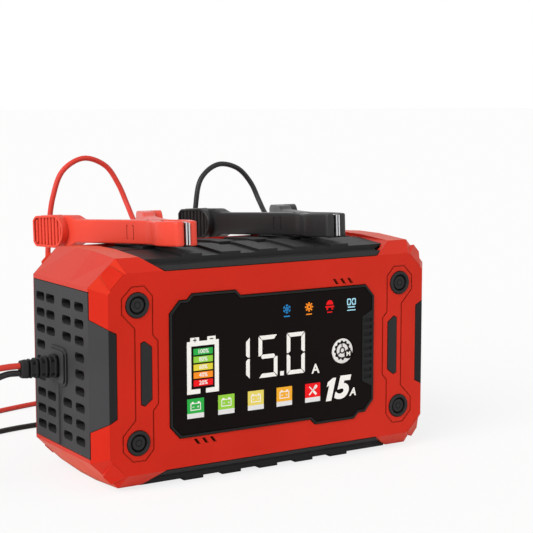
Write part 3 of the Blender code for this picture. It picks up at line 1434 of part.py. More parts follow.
def pad_outline():
    """Teardrop grip: round towards the jaws, blunt towards the tail."""
    half = PAD_HEIGHT / 2
    points = []
    for i in range(9):
        angle = math.radians(-80 + 20 * i)
        points.append((half * 0.95 - half * 0.95 * math.cos(angle), half * math.sin(angle)))
    points.append((PAD_LENGTH - 0.0030, half * 0.93))
    points.append((PAD_LENGTH, half * 0.55))
    points.append((PAD_LENGTH, -half * 0.55))
    points.append((PAD_LENGTH - 0.0030, -half * 0.93))
    return points


def pad_point(side, along_distance, out_distance, z):
    start, along, out = pad_axes(side)
    place = start + along * along_distance + out * out_distance
    return (side * place.x, place.y, CLAMP_HEIGHT / 2 + z)


def add_pad(mesh, side):
    rings = []
    for out_distance, grow in ((-0.0012, 0.0), (PAD_PROUD - 0.0006, 0.0), (PAD_PROUD, -0.0006)):
        ring = []
        for along_distance, z in pad_outline():
            scale = 1 + grow / (PAD_HEIGHT / 2)
            middle = PAD_LENGTH / 2
            ring.append(pad_point(side, middle + (along_distance - middle) * scale, out_distance, z * scale))
        rings.append(ring)
    add_loft(mesh, rings)


def add_pad_grooves(mesh, side):
    """Straight grooves across the pad, kept inside its rim."""
    half = PAD_HEIGHT / 2
    pitch = (PAD_LENGTH - 2 * PAD_RIM - 0.0012) / PAD_GROOVES
    radius = half * 0.95
    for i in range(PAD_GROOVES):
        middle = PAD_RIM + 0.0006 + pitch * (i + 0.5)
        near = middle - pitch * 0.28
        far = middle + pitch * 0.28
        reach = radius - near
        tall = half * math.sqrt(max(0.05, 1 - (reach / radius) ** 2)) if reach > 0 else half * 0.94
        if far > PAD_LENGTH - 0.0030:
            tall = half * 0.75
        tall -= PAD_RIM
        rings = []
        for out_distance in (PAD_PROUD - PAD_GROOVE_DEPTH, PAD_PROUD + 0.001):
            corners = ((near, -tall), (far, -tall), (far, tall), (near, tall))
            rings.append([pad_point(side, along, out_distance, z) for along, z in corners])
        add_loft(mesh, rings)


def nub_axes(side):
    """Root of the boot in the middle of the arm's tail, and its direction."""
    last = ARM_STATIONS[-1]
    before = ARM_STATIONS[-3]
    root = Vector((side * (last[1] + last[2]) / 2, last[0], CLAMP_HEIGHT / 2))
    earlier = Vector((side * (before[1] + before[2]) / 2, before[0], CLAMP_HEIGHT / 2))
    return root, (root - earlier).normalized()


def add_nub(mesh, side):
    root, along = nub_axes(side)
    across = along.cross(Vector((0, 0, 1))).normalized()
    up = across.cross(along).normalized()
    pitch = NUB_LENGTH / NUB_RINGS
    stations = [(-0.0030, NUB_ROOT)]
    for i in range(NUB_RINGS - 1):
        radius = NUB_ROOT + (NUB_TIP - NUB_ROOT) * i / (NUB_RINGS - 1)
        groove = radius - NUB_GROOVE
        start = i * pitch
        stations += [(start + pitch * 0.6, radius), (start + pitch * 0.7, groove)]
        stations += [(start + pitch, groove), (start + pitch * 1.1, radius - NUB_GROOVE * 0.4)]
    stations += [(NUB_LENGTH - 0.0004, NUB_TIP), (NUB_LENGTH, NUB_TIP - 0.0003)]
    rings = []
    for distance, radius in stations:
        ring = []
        for a, b in circle((0.0, 0.0), radius, 10):
            ring.append(root + along * distance + across * a + up * b)
        rings.append(ring)
    add_loft(mesh, rings)


def lead_start(frame):
    """Where the lead meets the boot of the fixed arm, and its direction there."""
    root, along = nub_axes(1)
    point = root + along * (NUB_LENGTH + GAP)
    return frame.matrix_world @ point, frame.matrix_world.to_3x3() @ along


def jaw_plate(name, side, frame):
    """Thin steel plate that lines the jaw and stands a little out of its tip."""
    margin = 0.0006
    rings = []
    shift = JAW_LIP_GAP / 2 + JAW_PLATE - JAW_STATIONS[0][1]
    for y, outer in JAW_STATIONS:
        x = (outer + shift - JAW_PLATE, outer + shift)
        rings.append([(side * x[0], y, margin), (side * x[1], y, margin),
                      (side * x[1], y, CLAMP_HEIGHT - margin), (side * x[0], y, CLAMP_HEIGHT - margin)])
    mesh = bmesh.new()
    add_loft(mesh, rings)
    return finish(name, mesh, steel(), frame)


def clamp_pin(name, frame):
    mesh = bmesh.new()
    low = GAP / 2
    high = CLAMP_HEIGHT - GAP / 2
    head = PIN_HEAD - GAP / 2
    profile = [(low, PIN_HEAD_RADIUS), (low + head, PIN_HEAD_RADIUS), (low + head, PIN_RADIUS),
               (high - head, PIN_RADIUS), (high - head, PIN_HEAD_RADIUS), (high, PIN_HEAD_RADIUS)]
    add_turned(mesh, (0.0, 0.0), "Z", profile, 16)
    return rounded_off(finish(name, mesh, steel(), frame))


def spring_points():
    """Torsion spring: a leg along one arm, the coil round the pin, a leg along the other."""
    start = math.radians(50)
    sweep = math.radians(80 + 720)
    steps = 22
    rise = SPRING_PITCH * sweep / (2 * math.pi)
    low = CLAMP_HEIGHT / 2 - rise / 2
    near = Vector((0.95, 5.2)) * 0.001
    along = Vector((2.9, 11.1)).normalized()
    far = near + along * SPRING_LEG
    points = [(far.x, far.y, low), (near.x, near.y, low)]
    for i in range(steps + 1):
        angle = start + sweep * i / steps
        x = SPRING_RADIUS * math.cos(angle)
        y = SPRING_RADIUS * math.sin(angle)
        points.append((x, y, low + rise * i / steps))
    points += [(-near.x, near.y, low + rise), (-far.x, far.y, low + rise)]
    return points


def tube(name, points, radius, look, resolution, parent=None):
    """A round tube through points, with closed ends."""
    data = bpy.data.curves.new(name, "CURVE")
    data.dimensions = "3D"
    data.bevel_depth = radius
    data.bevel_resolution = resolution
    data.use_fill_caps = True
    line = data.splines.new("POLY")
    line.points.add(len(points) - 1)
    for target, point in zip(line.points, points):
        target.co = (*point, 1.0)
    data.materials.append(look)
    made = bpy.data.objects.new(name, data)
    made.parent = parent
    bpy.context.scene.collection.objects.link(made)
    return made


def clamp(colour, look):
    frame = clamp_frame(colour)
    height = CLAMP_HEIGHT
    outer = KNUCKLE_OUTER
    inner = (outer + GAP, outer + GAP + KNUCKLE_INNER)
    body_levels = ((0.0, outer), (height - outer, height))
    lever_levels = (inner, (height - inner[1], height - inner[0]))
    body_clear = ((outer, height - outer),)
    lever_clear = ((-0.001, inner[0]), (inner[1], height - inner[1]), (height - inner[0], height + 0.001))
    name = colour + "_clamp_"
    clamp_arm(name + "body", 1, body_levels, body_clear, look, frame)
    clamp_arm(name + "lever", -1, lever_levels, lever_clear, look, frame)
    jaw_plate(name + "body_jaw", 1, frame)
    jaw_plate(name + "lever_jaw", -1, frame)
    clamp_pin(name + "pin", frame)
    tube(name + "spring", spring_points(), SPRING_WIRE, steel(), 1, frame)
    return frame


# ---------------------------------------------------------------- leads
def smooth_line(route, count):
    """Points at even spacing on a centripetal spline through the route."""
    knots = [Vector(point) for point in route]
    ends = [knots[0] * 2 - knots[1]] + knots + [knots[-1] * 2 - knots[-2]]
    fine = []
    for a, b, c, d in zip(ends, ends[1:], ends[2:], ends[3:]):
        t = [0.0]
        for first, second in ((a, b), (b, c), (c, d)):
            t.append(t[-1] + max((second - first).length, 1e-6) ** 0.5)
        for i in range(24):
            s = t[1] + (t[2] - t[1]) * i / 24
            low = blend(a, b, t[0], t[1], s)
            mid = blend(b, c, t[1], t[2], s)
            high = blend(c, d, t[2], t[3], s)
            left = blend(low, mid, t[0], t[2], s)
            right = blend(mid, high, t[1], t[3], s)
            fine.append(blend(left, right, t[1], t[2], s))
    fine.append(knots[-1])
    lengths = [0.0]
    for first, second in zip(fine, fine[1:]):
        lengths.append(lengths[-1] + (second - first).length)
    points = []
    index = 0
    for i in range(count):
        wanted = lengths[-1] * i / (count - 1)
        while index < len(fine) - 2 and lengths[index + 1] < wanted:
            index += 1
        span = max(lengths[index + 1] - lengths[index], 1e-9)
        points.append(fine[index].lerp(fine[index + 1], (wanted - lengths[index]) / span))
    return points


def blend(first, second, start, end, at):
    share = (at - start) / (end - start)
    return first * (1 - share) + second * share


def lead(name, look, route, relief_z, frame):
    start = Vector((-relief_tip() - GAP, PORT_Y, MID_Z + relief_z))
    end, direction = lead_start(frame)
    route = [start, start + Vector((-LEAD_STRAIGHT, 0.0, 0.0))] + [Vector(point) for point in route]
    route += [end + direction * LEAD_STRAIGHT, end]
    points = smooth_line(route, LEAD_POINTS)
    return tube(name, points, LEAD_RADIUS, look, 2)


def main():
    clear_scene()
    front_shell()
    rear_cover()
    side_panel("side_panel_left", -1, RELIEF_NECK_Y, RELIEF_NECK_Z)
    side_panel("side_panel_right", 1, INLET_WIDTH / 2 - 0.0012, INLET_HEIGHT / 2 - 0.0012)
    tread_panel("top_panel", 1, False)
    tread_panel("bottom_panel", -1, True)
    display_bezel()
    display_window()
    mode_button()
    lcd_module()
    display_board()
    screw_caps()
    case_screws()
    slot_inlays()
    main_board()
    board_screws()
    heat_sink()
    power_transistors()
    transformer()
    capacitors()
    output_choke()
    fan_frame()
    fan_rotor()
    mains_inlet()
    inlet_pins()
    strain_relief()
    red_frame = clamp("red", red_plastic())
    black_frame = clamp("black", black_plastic())
    bpy.context.view_layer.update()
    lead("red_lead", red_plastic(), RED_ROUTE, LEAD_SPACING / 2, red_frame)
    lead("black_lead", black_plastic(), BLACK_ROUTE, -LEAD_SPACING / 2, black_frame)


main()
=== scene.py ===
"""Looks of a car battery charger: a red chamfered case with a display, tread panels above and
below, and two leads that end in sprung clamps. Metres, +Z up, the display faces -Y."""

import json
import math

import bmesh
import bpy
from bpy.props import FloatProperty, FloatVectorProperty, IntProperty, PointerProperty
from mathutils import Matrix, Vector


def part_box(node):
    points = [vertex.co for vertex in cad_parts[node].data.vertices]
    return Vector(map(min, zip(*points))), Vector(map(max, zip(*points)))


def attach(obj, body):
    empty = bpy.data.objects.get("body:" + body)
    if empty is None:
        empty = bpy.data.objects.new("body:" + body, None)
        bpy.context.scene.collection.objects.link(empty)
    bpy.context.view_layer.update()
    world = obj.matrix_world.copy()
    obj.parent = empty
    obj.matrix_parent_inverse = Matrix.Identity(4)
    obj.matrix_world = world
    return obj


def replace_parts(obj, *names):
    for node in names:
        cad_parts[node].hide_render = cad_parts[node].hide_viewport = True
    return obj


bl_info = {
    "name": "Battery charger",
    "version": (1, 0, 0),
    "blender": (4, 5, 0),
    "location": "3D View > Sidebar > Charger",
    "description": "Dresses the solids of a car battery charger and lights them",
    "category": "Object",
}

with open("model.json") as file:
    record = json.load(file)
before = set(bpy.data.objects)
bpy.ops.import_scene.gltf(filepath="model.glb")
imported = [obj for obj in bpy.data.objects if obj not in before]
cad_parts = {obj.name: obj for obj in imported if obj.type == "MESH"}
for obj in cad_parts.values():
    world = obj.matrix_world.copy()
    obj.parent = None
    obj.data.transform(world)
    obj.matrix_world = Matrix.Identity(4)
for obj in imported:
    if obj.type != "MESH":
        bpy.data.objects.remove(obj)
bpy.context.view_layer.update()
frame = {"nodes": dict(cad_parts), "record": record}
SOLIDS = frame["nodes"]
JOINTS = {joint["name"]: joint for joint in frame["record"]["behaviour"]["joints"]}

# ---------------------------------------------------------------- camera, case and display
LENS_MM = 93.6
SENSOR_MM = 36.0
CAMERA_AT = (-0.336436, -0.557393, 0.167606)
CAMERA_AHEAD = (0.53183, 0.83864, -0.11762)
CAMERA_RIGHT = (0.8445, -0.53555, 0.0)

MID_Z = 0.0518                  # middle of the case above the floor
PORT_Y = 0.003
CAPS = [(x, -0.0358, MID_Z + z) for x in (-0.0703, 0.0703) for z in (-0.03, 0.03)]
LENS_FRONT = -0.0353
PRINT = 0.00012                 # how far the printed marks stand out of the window
LIFT = 0.00004                  # one ink over another
BUTTON_X = 36.9                 # like every place on the display, in mm from the case's middle
SIGN_Z = 22.4                   # middle of the row of signs, in mm
SIGN_BAR = (18.8, 19.3)         # the bar under each sign, in mm

# ---------------------------------------------------------------- leads and strain relief
LEAD_RADIUS = 0.0014
LEAD_POINTS = 320
LEAD_END_Y = 0.024              # each lead runs on inside its handle to here, short of the pivot
RELIEF_TIP = 0.1084
RELIEF_LENGTH = 0.0165
# the same route points as the solids have
RED_ROUTE = (
    (-0.1225, 0.0028, 0.0524), (-0.134, 0.004, 0.0458), (-0.1425, 0.0082, 0.0338),
    (-0.1475, 0.0155, 0.0205), (-0.149, 0.026, 0.0095), (-0.15, 0.039, 0.004),
    (-0.149, 0.054, 0.0018), (-0.143, 0.074, 0.0015), (-0.126, 0.1, 0.0015),
    (-0.09, 0.13, 0.0015), (-0.045, 0.148, 0.0015), (0.0, 0.153, 0.0015),
    (0.016, 0.151, 0.0015), (0.027, 0.144, 0.0015), (0.031, 0.133, 0.0015),
    (0.027, 0.122, 0.0015), (0.016, 0.115, 0.0015), (0.0, 0.112, 0.0015),
    (-0.015, 0.111, 0.0022), (-0.028, 0.1105, 0.007), (-0.038, 0.11, 0.016),
    (-0.0445, 0.1095, 0.03), (-0.048, 0.1088, 0.05), (-0.049, 0.1082, 0.075),
    (-0.0485, 0.1077, 0.1), (-0.046, 0.107, 0.119), (-0.0405, 0.1063, 0.1325),
    (-0.029, 0.1055, 0.1387), (-0.017, 0.1045, 0.1345), (-0.011, 0.102, 0.125),
    (-0.008, 0.0975, 0.114), (-0.0085, 0.0895, 0.1068),
)
BLACK_ROUTE = (
    (-0.1215, 0.0035, 0.0476), (-0.1297, 0.0056, 0.0395), (-0.137, 0.009, 0.028),
    (-0.141, 0.016, 0.0165), (-0.1425, 0.026, 0.0075), (-0.142, 0.038, 0.0033),
    (-0.139, 0.051, 0.0018), (-0.13, 0.067, 0.0015), (-0.11, 0.085, 0.0015),
    (-0.076, 0.099, 0.0015), (-0.036, 0.102, 0.0015), (-0.008, 0.101, 0.0017),
    (0.009, 0.1002, 0.004), (0.0215, 0.0992, 0.0105), (0.0285, 0.0988, 0.022),
    (0.032, 0.0985, 0.04), (0.033, 0.0985, 0.065), (0.033, 0.0988, 0.09),
    (0.0342, 0.0992, 0.111), (0.0382, 0.0998, 0.1265), (0.049, 0.1002, 0.1338),
    (0.0612, 0.0998, 0.1315), (0.0688, 0.0983, 0.1235), (0.072, 0.0945, 0.1135),
    (0.0716, 0.0882, 0.1075),
)

# ---------------------------------------------------------------- clamps
CLAMP_HEIGHT = 0.011
CLAMP_TURN = math.radians(-1.3)
# one arm: distance behind the pivot, inner side, outer side, share of the height
ARM_STATIONS = (
    (-0.0285, 0.0014, 0.004, 0.94), (-0.0277, 0.0014, 0.0051, 1.0), (-0.025, 0.0015, 0.0062, 1.0),
    (-0.0225, 0.0033, 0.0071, 1.0), (-0.019, 0.0047, 0.0083, 1.0), (-0.015, 0.005, 0.0087, 1.0),
    (-0.011, 0.0043, 0.008, 1.0), (-0.008, 0.0026, 0.007, 1.0), (-0.0056, 0.0004, 0.0065, 1.0),
    (-0.0015, 0.0004, 0.0063, 1.0), (0.0015, 0.00045, 0.0068, 1.0), (0.013, 0.00375, 0.01, 1.0),
    (0.024, 0.0072, 0.0138, 1.0), (0.044, 0.0144, 0.0212, 1.0), (0.05, 0.0164, 0.0234, 1.36),
    (0.068, 0.022, 0.0296, 1.36), (0.0715, 0.0234, 0.0296, 1.1),
)
ARM_EDGE = 0.0006
PAD_PROUD = 0.004
PAD_AHEAD = 0.0013              # a grip starts this far before the widest part of its arm
PAD_RIM = 0.0012
PAD_FLOOR = 0.0029              # floor of the grip inside its rim
PAD_TAPER = 0.003               # length over which a grip narrows at its tail
GRIP_RIB_RADIUS = 0.00072
BORE_RADIUS = 0.0016
HEAD_RADIUS = 0.0027
KNUCKLE_RADIUS = 0.0042
KNUCKLE_CLEAR = 0.0054
KNUCKLE_EDGE = 0.0002
# side of the arm: heights of its knuckles, heights left clear round the pivot
KNUCKLES = {
    1: (((0.0, 0.0015), (0.0095, 0.011)), ((0.0015, 0.0095),)),
    -1: (((0.0018, 0.003), (0.008, 0.0092)), ((-0.001, 0.0018), (0.003, 0.008), (0.0092, 0.012))),
}
WIRE_RADIUS = 0.0004
COIL_RADIUS = 0.0032
COIL_PITCH = 0.00125
COIL_STEPS = 90
LEG_LENGTH = 0.012


# ---------------------------------------------------------------- colour and material
def srgb(code):
    """The linear colour of a hex code."""
    values = [int(code[i:i + 2], 16) / 255 for i in (1, 3, 5)]
    return [v / 12.92 if v <= 0.04045 else ((v + 0.055) / 1.055) ** 2.4 for v in values]


def shade(colour, share=1.0, more=0.0):
    """A hex code or a linear colour, darker or paler by a share, as a node takes it."""
    values = srgb(colour) if isinstance(colour, str) else colour
    return [min(1.0, v * share + more) for v in values] + [1.0]


def add(tree, kind, inputs=None, **settings):
    """A node with its settings. An input is a value, a socket, or a node for its first output."""
    made = tree.nodes.new(kind)
    for name, value in settings.items():
        setattr(made, name, value)
    for name, value in (inputs or {}).items():
        if isinstance(value, bpy.types.Node):
            value = value.outputs[0]
        if isinstance(value, bpy.types.NodeSocket):
            tree.links.new(value, made.inputs[name])
        else:
            made.inputs[name].default_value = value
    return made


def new_material(name):
    """A material, its empty tree, and the place on the piece that its patterns follow."""
    made = bpy.data.materials.new(name)
    made.use_nodes = True
    made.node_tree.nodes.clear()
    return made, made.node_tree, add(made.node_tree, "ShaderNodeTexCoord").outputs["Object"]


def moulded(name, colour, roughness, grain_mm, depth, edge_mm=0.35, gloss=0.14, coat=0.0, recess_shade=0.6,
            bloom=0.0, warm="#FFFFFF", front=0.0):
    """Injection-moulded plastic: an etched grain breaks the gloss, edges are slightly rounded
    and catch the light, the colour drifts a little over the part, seams, vents and other
    recesses get painted shade, and a bloom of scattered light may lie on faces seen at a slant.
    Faces that look straight to the front may get painted shade as well, darker by a share."""
    made, tree, place = new_material(name)
    drift = add(tree, "ShaderNodeTexNoise", {"Vector": place, "Scale": 28.0, "Detail": 2.0})
    grain = add(tree, "ShaderNodeTexNoise", {
        "Vector": place, "Scale": 1000 / grain_mm, "Detail": 3.0, "Roughness": 0.6})
    flow = add(tree, "ShaderNodeMapRange", {"Value": drift, "From Min": 0.3, "From Max": 0.7})
    tint = add(tree, "ShaderNodeMix", {
        0: flow, 6: shade(colour, 0.94), 7: shade(colour, 1.06, 0.001)}, data_type="RGBA")
    # painted shade: the colour is mixed towards a tenth of itself in seams, vents and other recesses that the
    # occlusion test finds
    hollow = add(tree, "ShaderNodeAmbientOcclusion", {"Distance": 0.004}, samples=6)
    clear = add(tree, "ShaderNodeMapRange", {
        "Value": hollow.outputs["AO"], "From Min": 0.2, "From Max": 0.7, "To Min": 1 - recess_shade, "To Max": 1.0})
    tint = add(tree, "ShaderNodeMix", {0: clear, 6: shade(colour, 0.1), 7: tint.outputs[2]}, data_type="RGBA")
    # painted shade: faces that look to -Y are mixed towards a tenth of their colour, by up to the share given
    if front:
        facing = add(tree, "ShaderNodeTexCoord").outputs["Normal"]
        ahead = add(tree, "ShaderNodeVectorMath", {0: facing, 1: (0, -1, 0)}, operation="DOT_PRODUCT")
        smooth = add(tree, "ShaderNodeMapRange", {
            "Value": ahead.outputs["Value"], "From Min": 0.9, "From Max": 0.97, "To Min": 0.0, "To Max": front})
        tint = add(tree, "ShaderNodeMix", {
            0: smooth, 6: tint.outputs[2], 7: shade(colour, 0.1)}, data_type="RGBA")
    rough = add(tree, "ShaderNodeMapRange", {
        "Value": grain, "From Min": 0.3, "From Max": 0.7,
        "To Min": roughness - 0.05, "To Max": roughness + 0.07})
    edge = add(tree, "ShaderNodeBevel", {"Radius": edge_mm / 1000}, samples=4)
    bump = add(tree, "ShaderNodeBump", {
        "Height": grain, "Normal": edge, "Strength": depth, "Distance": grain_mm / 4000})
    surface = add(tree, "ShaderNodeBsdfPrincipled", {
        "Base Color": tint.outputs[2], "Roughness": rough, "Normal": bump, "IOR": 1.52,
        "Specular IOR Level": gloss, "Specular Tint": shade(warm), "Coat Weight": coat,
        "Sheen Weight": bloom, "Sheen Roughness": 0.5, "Sheen Tint": shade("#FF8951")})
    add(tree, "ShaderNodeOutputMaterial", {"Surface": surface})
    return made


def metal(name, colour, roughness, scratch_mm, direction=(1.0, 1.0, 1.0)):
    """Rolled or drawn metal: fine lines along one way stretch the highlights."""
    made, tree, place = new_material(name)
    stretch = add(tree, "ShaderNodeMapping", {"Vector": place, "Scale": direction})
    lines = add(tree, "ShaderNodeTexNoise", {"Vector": stretch, "Scale": 1000 / scratch_mm, "Detail": 4.0})
    rough = add(tree, "ShaderNodeMapRange", {
        "Value": lines, "From Min": 0.3, "From Max": 0.7,
        "To Min": roughness - 0.08, "To Max": roughness + 0.12})
    edge = add(tree, "ShaderNodeBevel", {"Radius": 0.00015}, samples=4)
    bump = add(tree, "ShaderNodeBump", {
        "Height": lines, "Normal": edge, "Strength": 0.15, "Distance": scratch_mm / 6000})
    tint = add(tree, "ShaderNodeMix", {0: lines, 6: shade(colour, 0.85), 7: shade(colour)}, data_type="RGBA")
    surface = add(tree, "ShaderNodeBsdfPrincipled", {
        "Base Color": tint.outputs[2], "Metallic": 1.0, "Roughness": rough, "Normal": bump})
    add(tree, "ShaderNodeOutputMaterial", {"Surface": surface})
    return made


def backlit(name, colour, glow):
    """Translucent screen-printed ink, lit from behind: even and bright, with a fine mesh of
    slightly darker dots. The real dots are 0.1 mm wide; they are drawn 0.4 mm wide to show."""
    made, tree, place = new_material(name)
    dots = add(tree, "ShaderNodeTexNoise", {"Vector": place, "Scale": 2500.0, "Detail": 1.0})
    tint = add(tree, "ShaderNodeMix", {
        0: dots, 6: shade(colour, 0.9), 7: shade(colour, 1.05)}, data_type="RGBA").outputs[2]
    surface = add(tree, "ShaderNodeBsdfPrincipled", {
        "Base Color": tint, "Roughness": 0.4, "Specular IOR Level": 0.1,
        "Emission Color": tint, "Emission Strength": glow})
    add(tree, "ShaderNodeOutputMaterial", {"Surface": surface})
    return made


def smoked(name, colour, gloss):
    """Polished smoked acrylic or glass: nearly black, with faint waves that bend reflections
    and a film of dust that blurs them here and there."""
    made, tree, place = new_material(name)
    waves = add(tree, "ShaderNodeTexNoise", {"Vector": place, "Scale": 45.0, "Detail": 1.0})
    dust = add(tree, "ShaderNodeTexNoise", {"Vector": place, "Scale": 900.0, "Detail": 3.0})
    rough = add(tree, "ShaderNodeMapRange", {
        "Value": dust, "From Min": 0.35, "From Max": 0.75, "To Min": 0.1, "To Max": 0.2})
    bump = add(tree, "ShaderNodeBump", {"Height": waves, "Strength": 0.05, "Distance": 0.0004})
    tint = add(tree, "ShaderNodeMix", {0: dust, 6: shade(colour), 7: shade(colour, 1.4)}, data_type="RGBA")
    surface = add(tree, "ShaderNodeBsdfPrincipled", {
        "Base Color": tint.outputs[2], "Roughness": rough, "Normal": bump, "IOR": 1.49,
        "Specular IOR Level": gloss})
    add(tree, "ShaderNodeOutputMaterial", {"Surface": surface})
    return made


def finishes(look):
    """Every finish of the charger, by name."""
    clamp, sheath = {"gloss": 0.22, "coat": 0.06}, {"edge_mm": 0.05, "gloss": 0.22}
    made = {
        # etched ABS dyed through: satin red, its chamfers catch the light along crisp edges
        "case_red": moulded("abs_red_etched", look.case_red, 0.42, 0.5, 0.1, gloss=0.6, bloom=0.3,
                            warm="#FF8951"),
        # coarse spark-etched ABS: takes the shine off the treads and inlays, which read as soft black
        "panel_black": moulded("abs_black_spark_etched", "#252526", 0.52, 0.6, 0.22),
        # the same etch in dark grey on the vented sides, with strong painted shade in the vents and painted shade
        # on the faces that look to the front
        "panel_grey": moulded("abs_grey_spark_etched", look.panel_grey, 0.55, 0.6, 0.22, gloss=0.1,
                              recess_shade=0.95, front=0.75),
        # finer etch round the window: a little smoother and darker than the treads
        "bezel": moulded("abs_black_fine_etched", "#1D1F1E", 0.42, 0.5, 0.12, gloss=0.1),
        # polished acrylic: a near-black field that the lit figures stand out from
        "window": smoked("acrylic_smoked_polished", "#0A0403", 0.08),
        # moulded rubber of the caps and the strain relief: dull, its edges are soft, with strong painted shade in
        # its grooves
        "rubber": moulded("rubber_black_moulded", "#29292A", 0.62, 0.7, 0.25, edge_mm=0.25, gloss=0.12,
                          recess_shade=0.9),
        # polished-mould ABS of the clamps: brighter and glossier than the case
        "clamp_red": moulded("abs_red_polished_mould", look.clamp_red, 0.36, 0.6, 0.06, **clamp),
        "clamp_black": moulded("abs_black_polished_mould", "#232324", 0.36, 0.6, 0.08, **clamp),
        # soft PVC sheath of the leads: extruded smooth, with a low shine along its length
        "sheath_red": moulded("pvc_red_extruded", "#CE3A2E", 0.36, 0.3, 0.03, **sheath),
        "sheath_black": moulded("pvc_black_extruded", "#222223", 0.36, 0.3, 0.03, **sheath),
        # white ABS from a polished mould: the button is glossy and reads as clean white
        "button_white": moulded("abs_white_polished_mould", "#E6E5E2", 0.25, 0.8, 0.03, gloss=0.3, coat=0.2),
        # nickel plate over rolled steel: bright jaws and springs with fine rolling lines
        "steel": metal("steel_rolled_nickel_plated", "#C9CACC", 0.28, 0.25, (1.0, 1.0, 8.0)),
        # extruded aluminium: draw lines run along the fins
        "aluminium": metal("aluminium_extruded", "#8E9091", 0.4, 0.3, (1.0, 1.0, 0.1)),
        # turned brass pins: warm, with turning lines round them
        "brass": metal("brass_turned", "#C9A35A", 0.25, 0.2, (0.2, 1.0, 1.0)),
        # enamelled copper wire: orange brown under clear varnish
        "copper": metal("copper_enamelled", "#B4602E", 0.3, 0.4),
        # sintered ferrite: dull and grainy
        "ferrite": moulded("ferrite_sintered", "#2E2E31", 0.7, 0.5, 0.4),
        # fibreglass board under green solder mask: smooth, the weave only just shows
        "board": moulded("fibreglass_solder_mask", "#1F5B35", 0.35, 1.0, 0.1),
        # polyester tape wound round the transformer: yellow and slightly wrinkled
        "tape": moulded("polyester_tape_wound", "#C9A02B", 0.35, 2.0, 0.15),
        # heat-shrunk sleeve of the capacitors: dark blue and glossy
        "sleeve": moulded("pvc_sleeve_shrunk", "#1B2440", 0.3, 1.5, 0.1),
        # moulded epoxy of transistors and fan: matt black
        "component": moulded("epoxy_black_moulded", "#1C1C1E", 0.55, 0.6, 0.3),
        # glass of the display module behind the window: dark, with a clear reflection
        "glass": smoked("glass_display_dark", "#1A2226", 0.3),
        # inks behind the window: white figures, paler strips, and black that lets no light through
        "white": backlit("ink_white_backlit", "#E9E7E2", 0.12),
        "icon_strip": backlit("ink_pale_backlit", "#DCDCDC", 0.08),
        "dark": backlit("ink_black_opaque", "#0C0605", 0.0),
    }
    # the coloured inks of the tiles, bars and signs
    for name, code in (("green", "#2BA545"), ("lime", "#8DC63F"), ("yellow", "#D9C93A"), ("amber", "#E8A62C"),
                       ("orange", "#F08A22"), ("red", "#E3141B"), ("blue", "#2C86C7"),
                       ("pale_blue", "#9FD4E6"), ("pale_yellow", "#DDCB62")):
        made[name] = backlit("ink_%s_backlit" % name, code, 0.12)
    return made


FINISH = {}


def finish_of(name):
    if not FINISH:
        FINISH.update(finishes(bpy.context.scene.charger_colours))
    return FINISH[name]


# ---------------------------------------------------------------- objects and meshes
def placed(name, data):
    """A new object in the scene."""
    made = bpy.data.objects.new(name, data)
    bpy.context.scene.collection.objects.link(made)
    return made


def evaluated(holder):
    """The plain mesh that an object's curve or modifiers make. The object goes."""
    bpy.context.view_layer.update()
    made = bpy.data.meshes.new_from_object(holder.evaluated_get(bpy.context.evaluated_depsgraph_get()))
    bpy.data.objects.remove(holder)
    return made


def held(mesh):
    """An object that holds a shape for a Boolean or a tree; it is removed after that."""
    data = bpy.data.meshes.new("held")
    mesh.to_mesh(data)
    mesh.free()
    return placed("held", data)


def piece(name, mesh, finish, body, smooth=30.0):
    """Put a finished shape in the scene and let it ride on its body."""
    data = mesh
    if isinstance(mesh, bmesh.types.BMesh):
        data = bpy.data.meshes.new(name)
        mesh.to_mesh(data)
        mesh.free()
    made = placed(name, data)
    data.materials.clear()
    data.materials.append(finish_of(finish))
    if smooth:
        data.shade_smooth()
        data.set_sharp_from_angle(angle=math.radians(smooth))
    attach(made, body)
    return made


def dress(**wanted):
    """Give solids that stay as they are their finish."""
    for finish, names in wanted.items():
        for name in names.split():
            data = SOLIDS[name].data
            data.materials.clear()
            data.materials.append(finish_of(finish))


def loft(mesh, rings):
    """A closed skin through rings that have the same number of points."""
    rows = [[mesh.verts.new(point) for point in ring] for ring in rings]
    made = [mesh.faces.new(rows[0]), mesh.faces.new(list(reversed(rows[-1])))]
    bmesh.ops.recalc_face_normals(mesh, faces=made + skin(mesh, rows, rows[1:]))


def skin(mesh, rows, others):
    """Faces between each row of corners and the next."""
    made = []
    for near, far in zip(rows, others):
        for i in range(len(near)):
            j = (i + 1) % len(near)
            made.append(mesh.faces.new((near[i], near[j], far[j], far[i])))
    return made


def turned(mesh, root, along, profile, sides):
    """A round shape: (distance along the axis, radius) pairs turned about a line."""
    along = Vector(along).normalized()
    across = along.orthogonal().normalized()
    up = along.cross(across)
    angles = [2 * math.pi * i / sides for i in range(sides)]
    loft(mesh, [[Vector(root) + along * distance + (across * math.cos(a) + up * math.sin(a)) * radius
                 for a in angles] for distance, radius in profile])


def rounded(half_a, half_b, radius, steps):
    """Outline of a rectangle with round corners."""
    points = []
    for sign_a, sign_b, start in ((1, 1, 0), (-1, 1, 90), (-1, -1, 180), (1, -1, 270)):
        for i in range(steps + 1):
            angle = math.radians(start + 90 * i / steps)
            points.append((sign_a * (half_a - radius) + radius * math.cos(angle),
                           sign_b * (half_b - radius) + radius * math.sin(angle)))
    return points


def combined(base, steps):
    """The mesh of a shape after its Boolean steps."""
    whole, cutters = held(base), [held(mesh) for operation, mesh in steps]
    for (operation, mesh), cutter in zip(steps, cutters):
        step = whole.modifiers.new(operation, "BOOLEAN")
        step.operation = operation
        step.solver = "EXACT"
        step.object = cutter
    made = evaluated(whole)
    for cutter in cutters:
        bpy.data.objects.remove(cutter)
    return made


